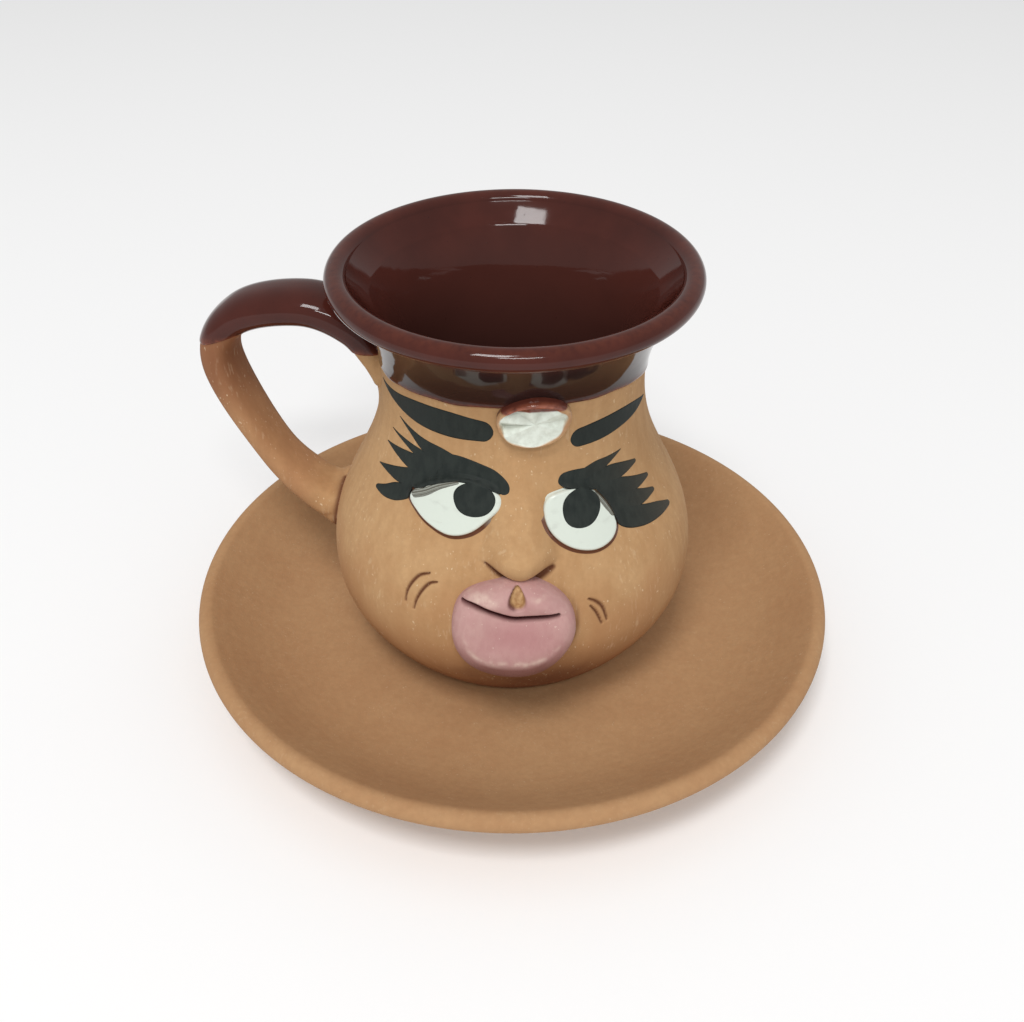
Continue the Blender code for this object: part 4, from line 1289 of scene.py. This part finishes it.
bearing = np.linspace(0, 2 * np.pi, LIPS_SIDES, endpoint=False)
lips_outline = lips_edge(bearing)
low_side = np.clip(-np.sin(bearing), 0, 1) ** 1.5
flat_share = 1 - (4.4 + 3.4 * low_side) / np.linalg.norm(lips_outline, axis=1)
round_turn = np.linspace(0, np.pi / 2, 30)[:, None]
face_shares = np.linspace(0, 1, 100)[:-1, None] * flat_share
edge_shares = flat_share + (1 - flat_share) * np.sin(round_turn)
back_shares = np.outer([1, 0.985, 0.96, 0], np.ones(LIPS_SIDES))
lip_shares = np.vstack([face_shares, edge_shares, back_shares])
edge_depths = -LIPS_DEEP * (1 - np.cos(round_turn[:, 0]))
lip_depths = np.concatenate([np.zeros(len(face_shares)), edge_depths, [-5, -8, -10, -10]])[:, None]
face_rows = len(face_shares) + len(round_turn)
right, up = np.moveaxis(lip_shares[..., None] * lips_outline, -1, 0)

# %% Mouth, notch and hollows of the lips
mouth_far = np.full(right.shape, FAR)
for place_right, place_up in through(MOUTH, 160):
    mouth_far = np.minimum(mouth_far, np.hypot(right - place_right, up - place_up))
mouth_up = np.interp(right, *np.array(MOUTH).T)
taper = ramp(np.abs(right + 0.4), 10.6, 6.6)
slit = bell(mouth_far, 0.30 + 0.22 * taper)
hollow = bell(mouth_far, 2.0) * np.where(up > mouth_up, 0.35, 0.8)
lobes = bell(np.abs(right - 0.9) - 5.0, 3.2) * bell(up - 7.4, 2.2)
point = np.clip(1 - (up - NOTCH_UP + NOTCH_HALF[1]) / (2.5 * NOTCH_HALF[1]), 0.12, 1) ** 0.6
notch_far = np.hypot((right - NOTCH_RIGHT) / (NOTCH_HALF[0] * point), (up - NOTCH_UP) / NOTCH_HALF[1])
pit = soft_ramp(notch_far, 1.12, 0.57)
pressed = bell(up + 1.0, 4.5) * bell(right, 8.0)
depth = lip_depths - 1.7 * slit - 0.6 * hollow + 0.6 * lobes - 2.0 * pit - 0.3 * pressed
depth[face_rows:] = lip_depths[face_rows:]
places = np.stack([right, up, depth], -1) @ np.array([axis_right, axis_up, axis_out])
lips_rings = lips_centre + MM * places

# %% Colours of the lips
on_face = (np.arange(len(lip_shares)) < face_rows)[:, None]
to_edge = (lip_shares - flat_share) / (1 - flat_share)
rim = bell(to_edge - 0.40, 0.10) * ramp(up, 2.7, -6.3)
patch_left = bell(right + 6.2, 2.6) * bell(up - 8.2, 1.0)
patch_right = bell(right - 5.0, 1.2) * bell(up - 8.6, 0.8)
# Painted shade on the notch's left wall.
notch_shade = 0.75 * bell(notch_far - 0.92, 0.16) * ramp(right, NOTCH_RIGHT, NOTCH_RIGHT - 0.8)
lip_marks = {
    "mouth": np.clip(slit * 1.35 + notch_shade, 0, 1) * on_face,
    # The underside's painted shade.
    "under": ramp(-lip_depths / LIPS_DEEP, 0.07, 0.20) * np.clip(1.3 * low_side, 0, 1),
    "notch": ramp(pit, 0.2, 0.55) * on_face,
    "worn": np.clip(0.8 * rim + 1.2 * patch_left + 0.7 * patch_right, 0, 1) * on_face,
    "blush": bell(up, 4.0) * bell(right - 1.0, 6.5) * on_face,
}
marks = {key: [values] for key, values in lip_marks.items()}
cup_piece("painted_lips", [lips_rings], lip_slip, "pink_slip", ["lips"], **marks)

# %% [markdown]
# ## The stamped rosette
#
# A button of clay between the brows, pressed with a star stamp, painted white inside its border, and
# caught by the glaze at its top. Ridges and valleys run from the middle to the edge: the face rises and
# falls with the bearing, more towards the edge, and uneven as the stamp was pressed at a slant.


# %% Rosette finish
def rosette_slip(name):
    """White in the stamp, grey with painted shade in its valleys, clay on the border, glaze over the top.
    """
    material, start = finish(name)
    grain = start.noise(700, 3).step(0.3, 0.72)
    white = grain.mix((0.66, 0.70, 0.61), (0.80, 0.855, 0.765))
    # Painted shade in the stamp's valleys.
    white = (0.5 * start.marked("valley")).mix(white, (0.40, 0.41, 0.34))
    bare = start.noise(500, 3).step(0.3, 0.7).mix((0.42, 0.22, 0.10), (0.55, 0.33, 0.165))
    colour = start.marked("white").mix(bare, white)
    colour = (0.9 * start.marked("seam")).mix(colour, (0.10, 0.032, 0.016))
    run = start.marked("run")
    ridge = start.marked("high") * start.noise(600, 3).step(0.3, 0.65)
    broken = ridge.mix((0.135, 0.034, 0.021), (0.44, 0.135, 0.072))
    return dress(material, run.mix(colour, broken), 0.5 - 0.43 * run, grain, 0.04 * MM)


# %% Rosette
ROSETTE_MIDDLE = np.array([7.8, 80.2 * MM])  # azimuth in degrees, height
ROSETTE_HALF = (14.4, 5.95 * MM)  # half width in degrees, half height
ROSETTE_THICK = 2.3 * MM
STAR = [
    (0, 0.35), (35, 1), (72, 0.1), (105, 0.75), (135, 0.1), (165, 1),
    (188, 0), (210, 1), (240, 0.72), (272, 0.85), (303, 0.72), (334, 1), (360, 0.35),
]  # bearing in degrees and height of its ridges and valleys
SIDES = 288
BACK_SHARES = np.array([[1.0], [1.0], [0.0]])
BACK_LIFTS = np.array([[0.3], [-0.6], [-0.6]]) * MM

bearing = np.linspace(0, 2 * np.pi, SIDES, endpoint=False)
ripple = 1 + 0.018 * np.sin(2 * bearing + 0.8) + 0.014 * np.sin(5 * bearing)
circle = np.stack([np.cos(bearing) * ripple, np.sin(bearing) * ripple], 1)
rosette_outline = ROSETTE_MIDDLE + circle * ROSETTE_HALF
rounded = 0.9 + 0.1 * np.sin(np.linspace(0.08, 1, 14) * np.pi / 2)
share = np.concatenate([np.linspace(0, 0.9, 90), rounded])[:, None]
stamp_edge = 0.875 - 0.05 * np.cos(bearing - 0.5)
stamp_edge = stamp_edge + 0.02 * np.sin(3 * bearing + 0.4) + 0.02 * np.sin(7 * bearing)
stamped = soft_ramp(share, stamp_edge, stamp_edge - 0.06)
pleat = np.interp(np.degrees(bearing), *np.array(STAR).T)
stamp_face = 0.74 - 0.30 * share + 0.90 * share * (pleat - 0.35)
border = 0.94 - 0.22 * ramp(share, 0.86, 1) ** 2
edge_drop = 0.55 * (1 - quarter_round(ramp(share, 0.93, 1)))
rise = stamped * stamp_face + (1 - stamped) * border - edge_drop
rosette_lift = np.vstack([ROSETTE_THICK * rise, np.broadcast_to(BACK_LIFTS, (3, SIDES))])
rosette_place = spread(rosette_outline, ROSETTE_MIDDLE, np.vstack([share, BACK_SHARES]))
rosette_rings = on_wall(*rosette_place, rosette_lift)


def with_back(values):
    """Values for the rosette's face, with three rows of nothing for its back."""
    return [np.pad(values, ((0, 3), (0, 0)))]


glaze_edge = (83.0 + 0.25 * np.sin(4 * bearing)) * MM
run = ramp(rosette_rings[..., 2] - glaze_edge, -0.175 * MM, 0.175 * MM)
seam = np.arange(len(share) + 3)[:, None] > len(share) - 4
cup_piece(
    "stamped_rosette",
    [rosette_rings],
    rosette_slip("rosette_slip"),
    "white_slip",
    ["forehead_rosette"],
    white=with_back(stamped),
    # Painted shade in the valleys.
    valley=with_back(ramp(pleat, 0.7, 0) * ramp(share, 0, 0.25) * stamped),
    run=[run],
    high=with_back(np.clip(1.6 * rise - 0.7, 0, 1)),
    seam=[seam * (1 - run)],
)

# %% [markdown]
# ## The floor
#
# A plain pale floor catches the soft shadow. It is wide enough to fill the view from every side.

# %% Floor
FLOOR_HALF = 4.0
floor_mesh = bpy.data.meshes.new("floor")
corners = np.array([(-1, -1), (1, -1), (1, 1), (-1, 1)]) * FLOOR_HALF
floor_mesh.from_pydata([(x, y, -0.02 * MM) for x, y in corners], [], [(0, 1, 2, 3)])
floor_white = (0.95, 0.95, 0.95, 1)
floor_material, _ = finish("floor", base_color=floor_white, roughness=0.9, specular_ior_level=0.0)
floor_mesh.materials.append(floor_material)
floor = bpy.data.objects.new("floor", floor_mesh)
bpy.context.scene.collection.objects.link(floor)
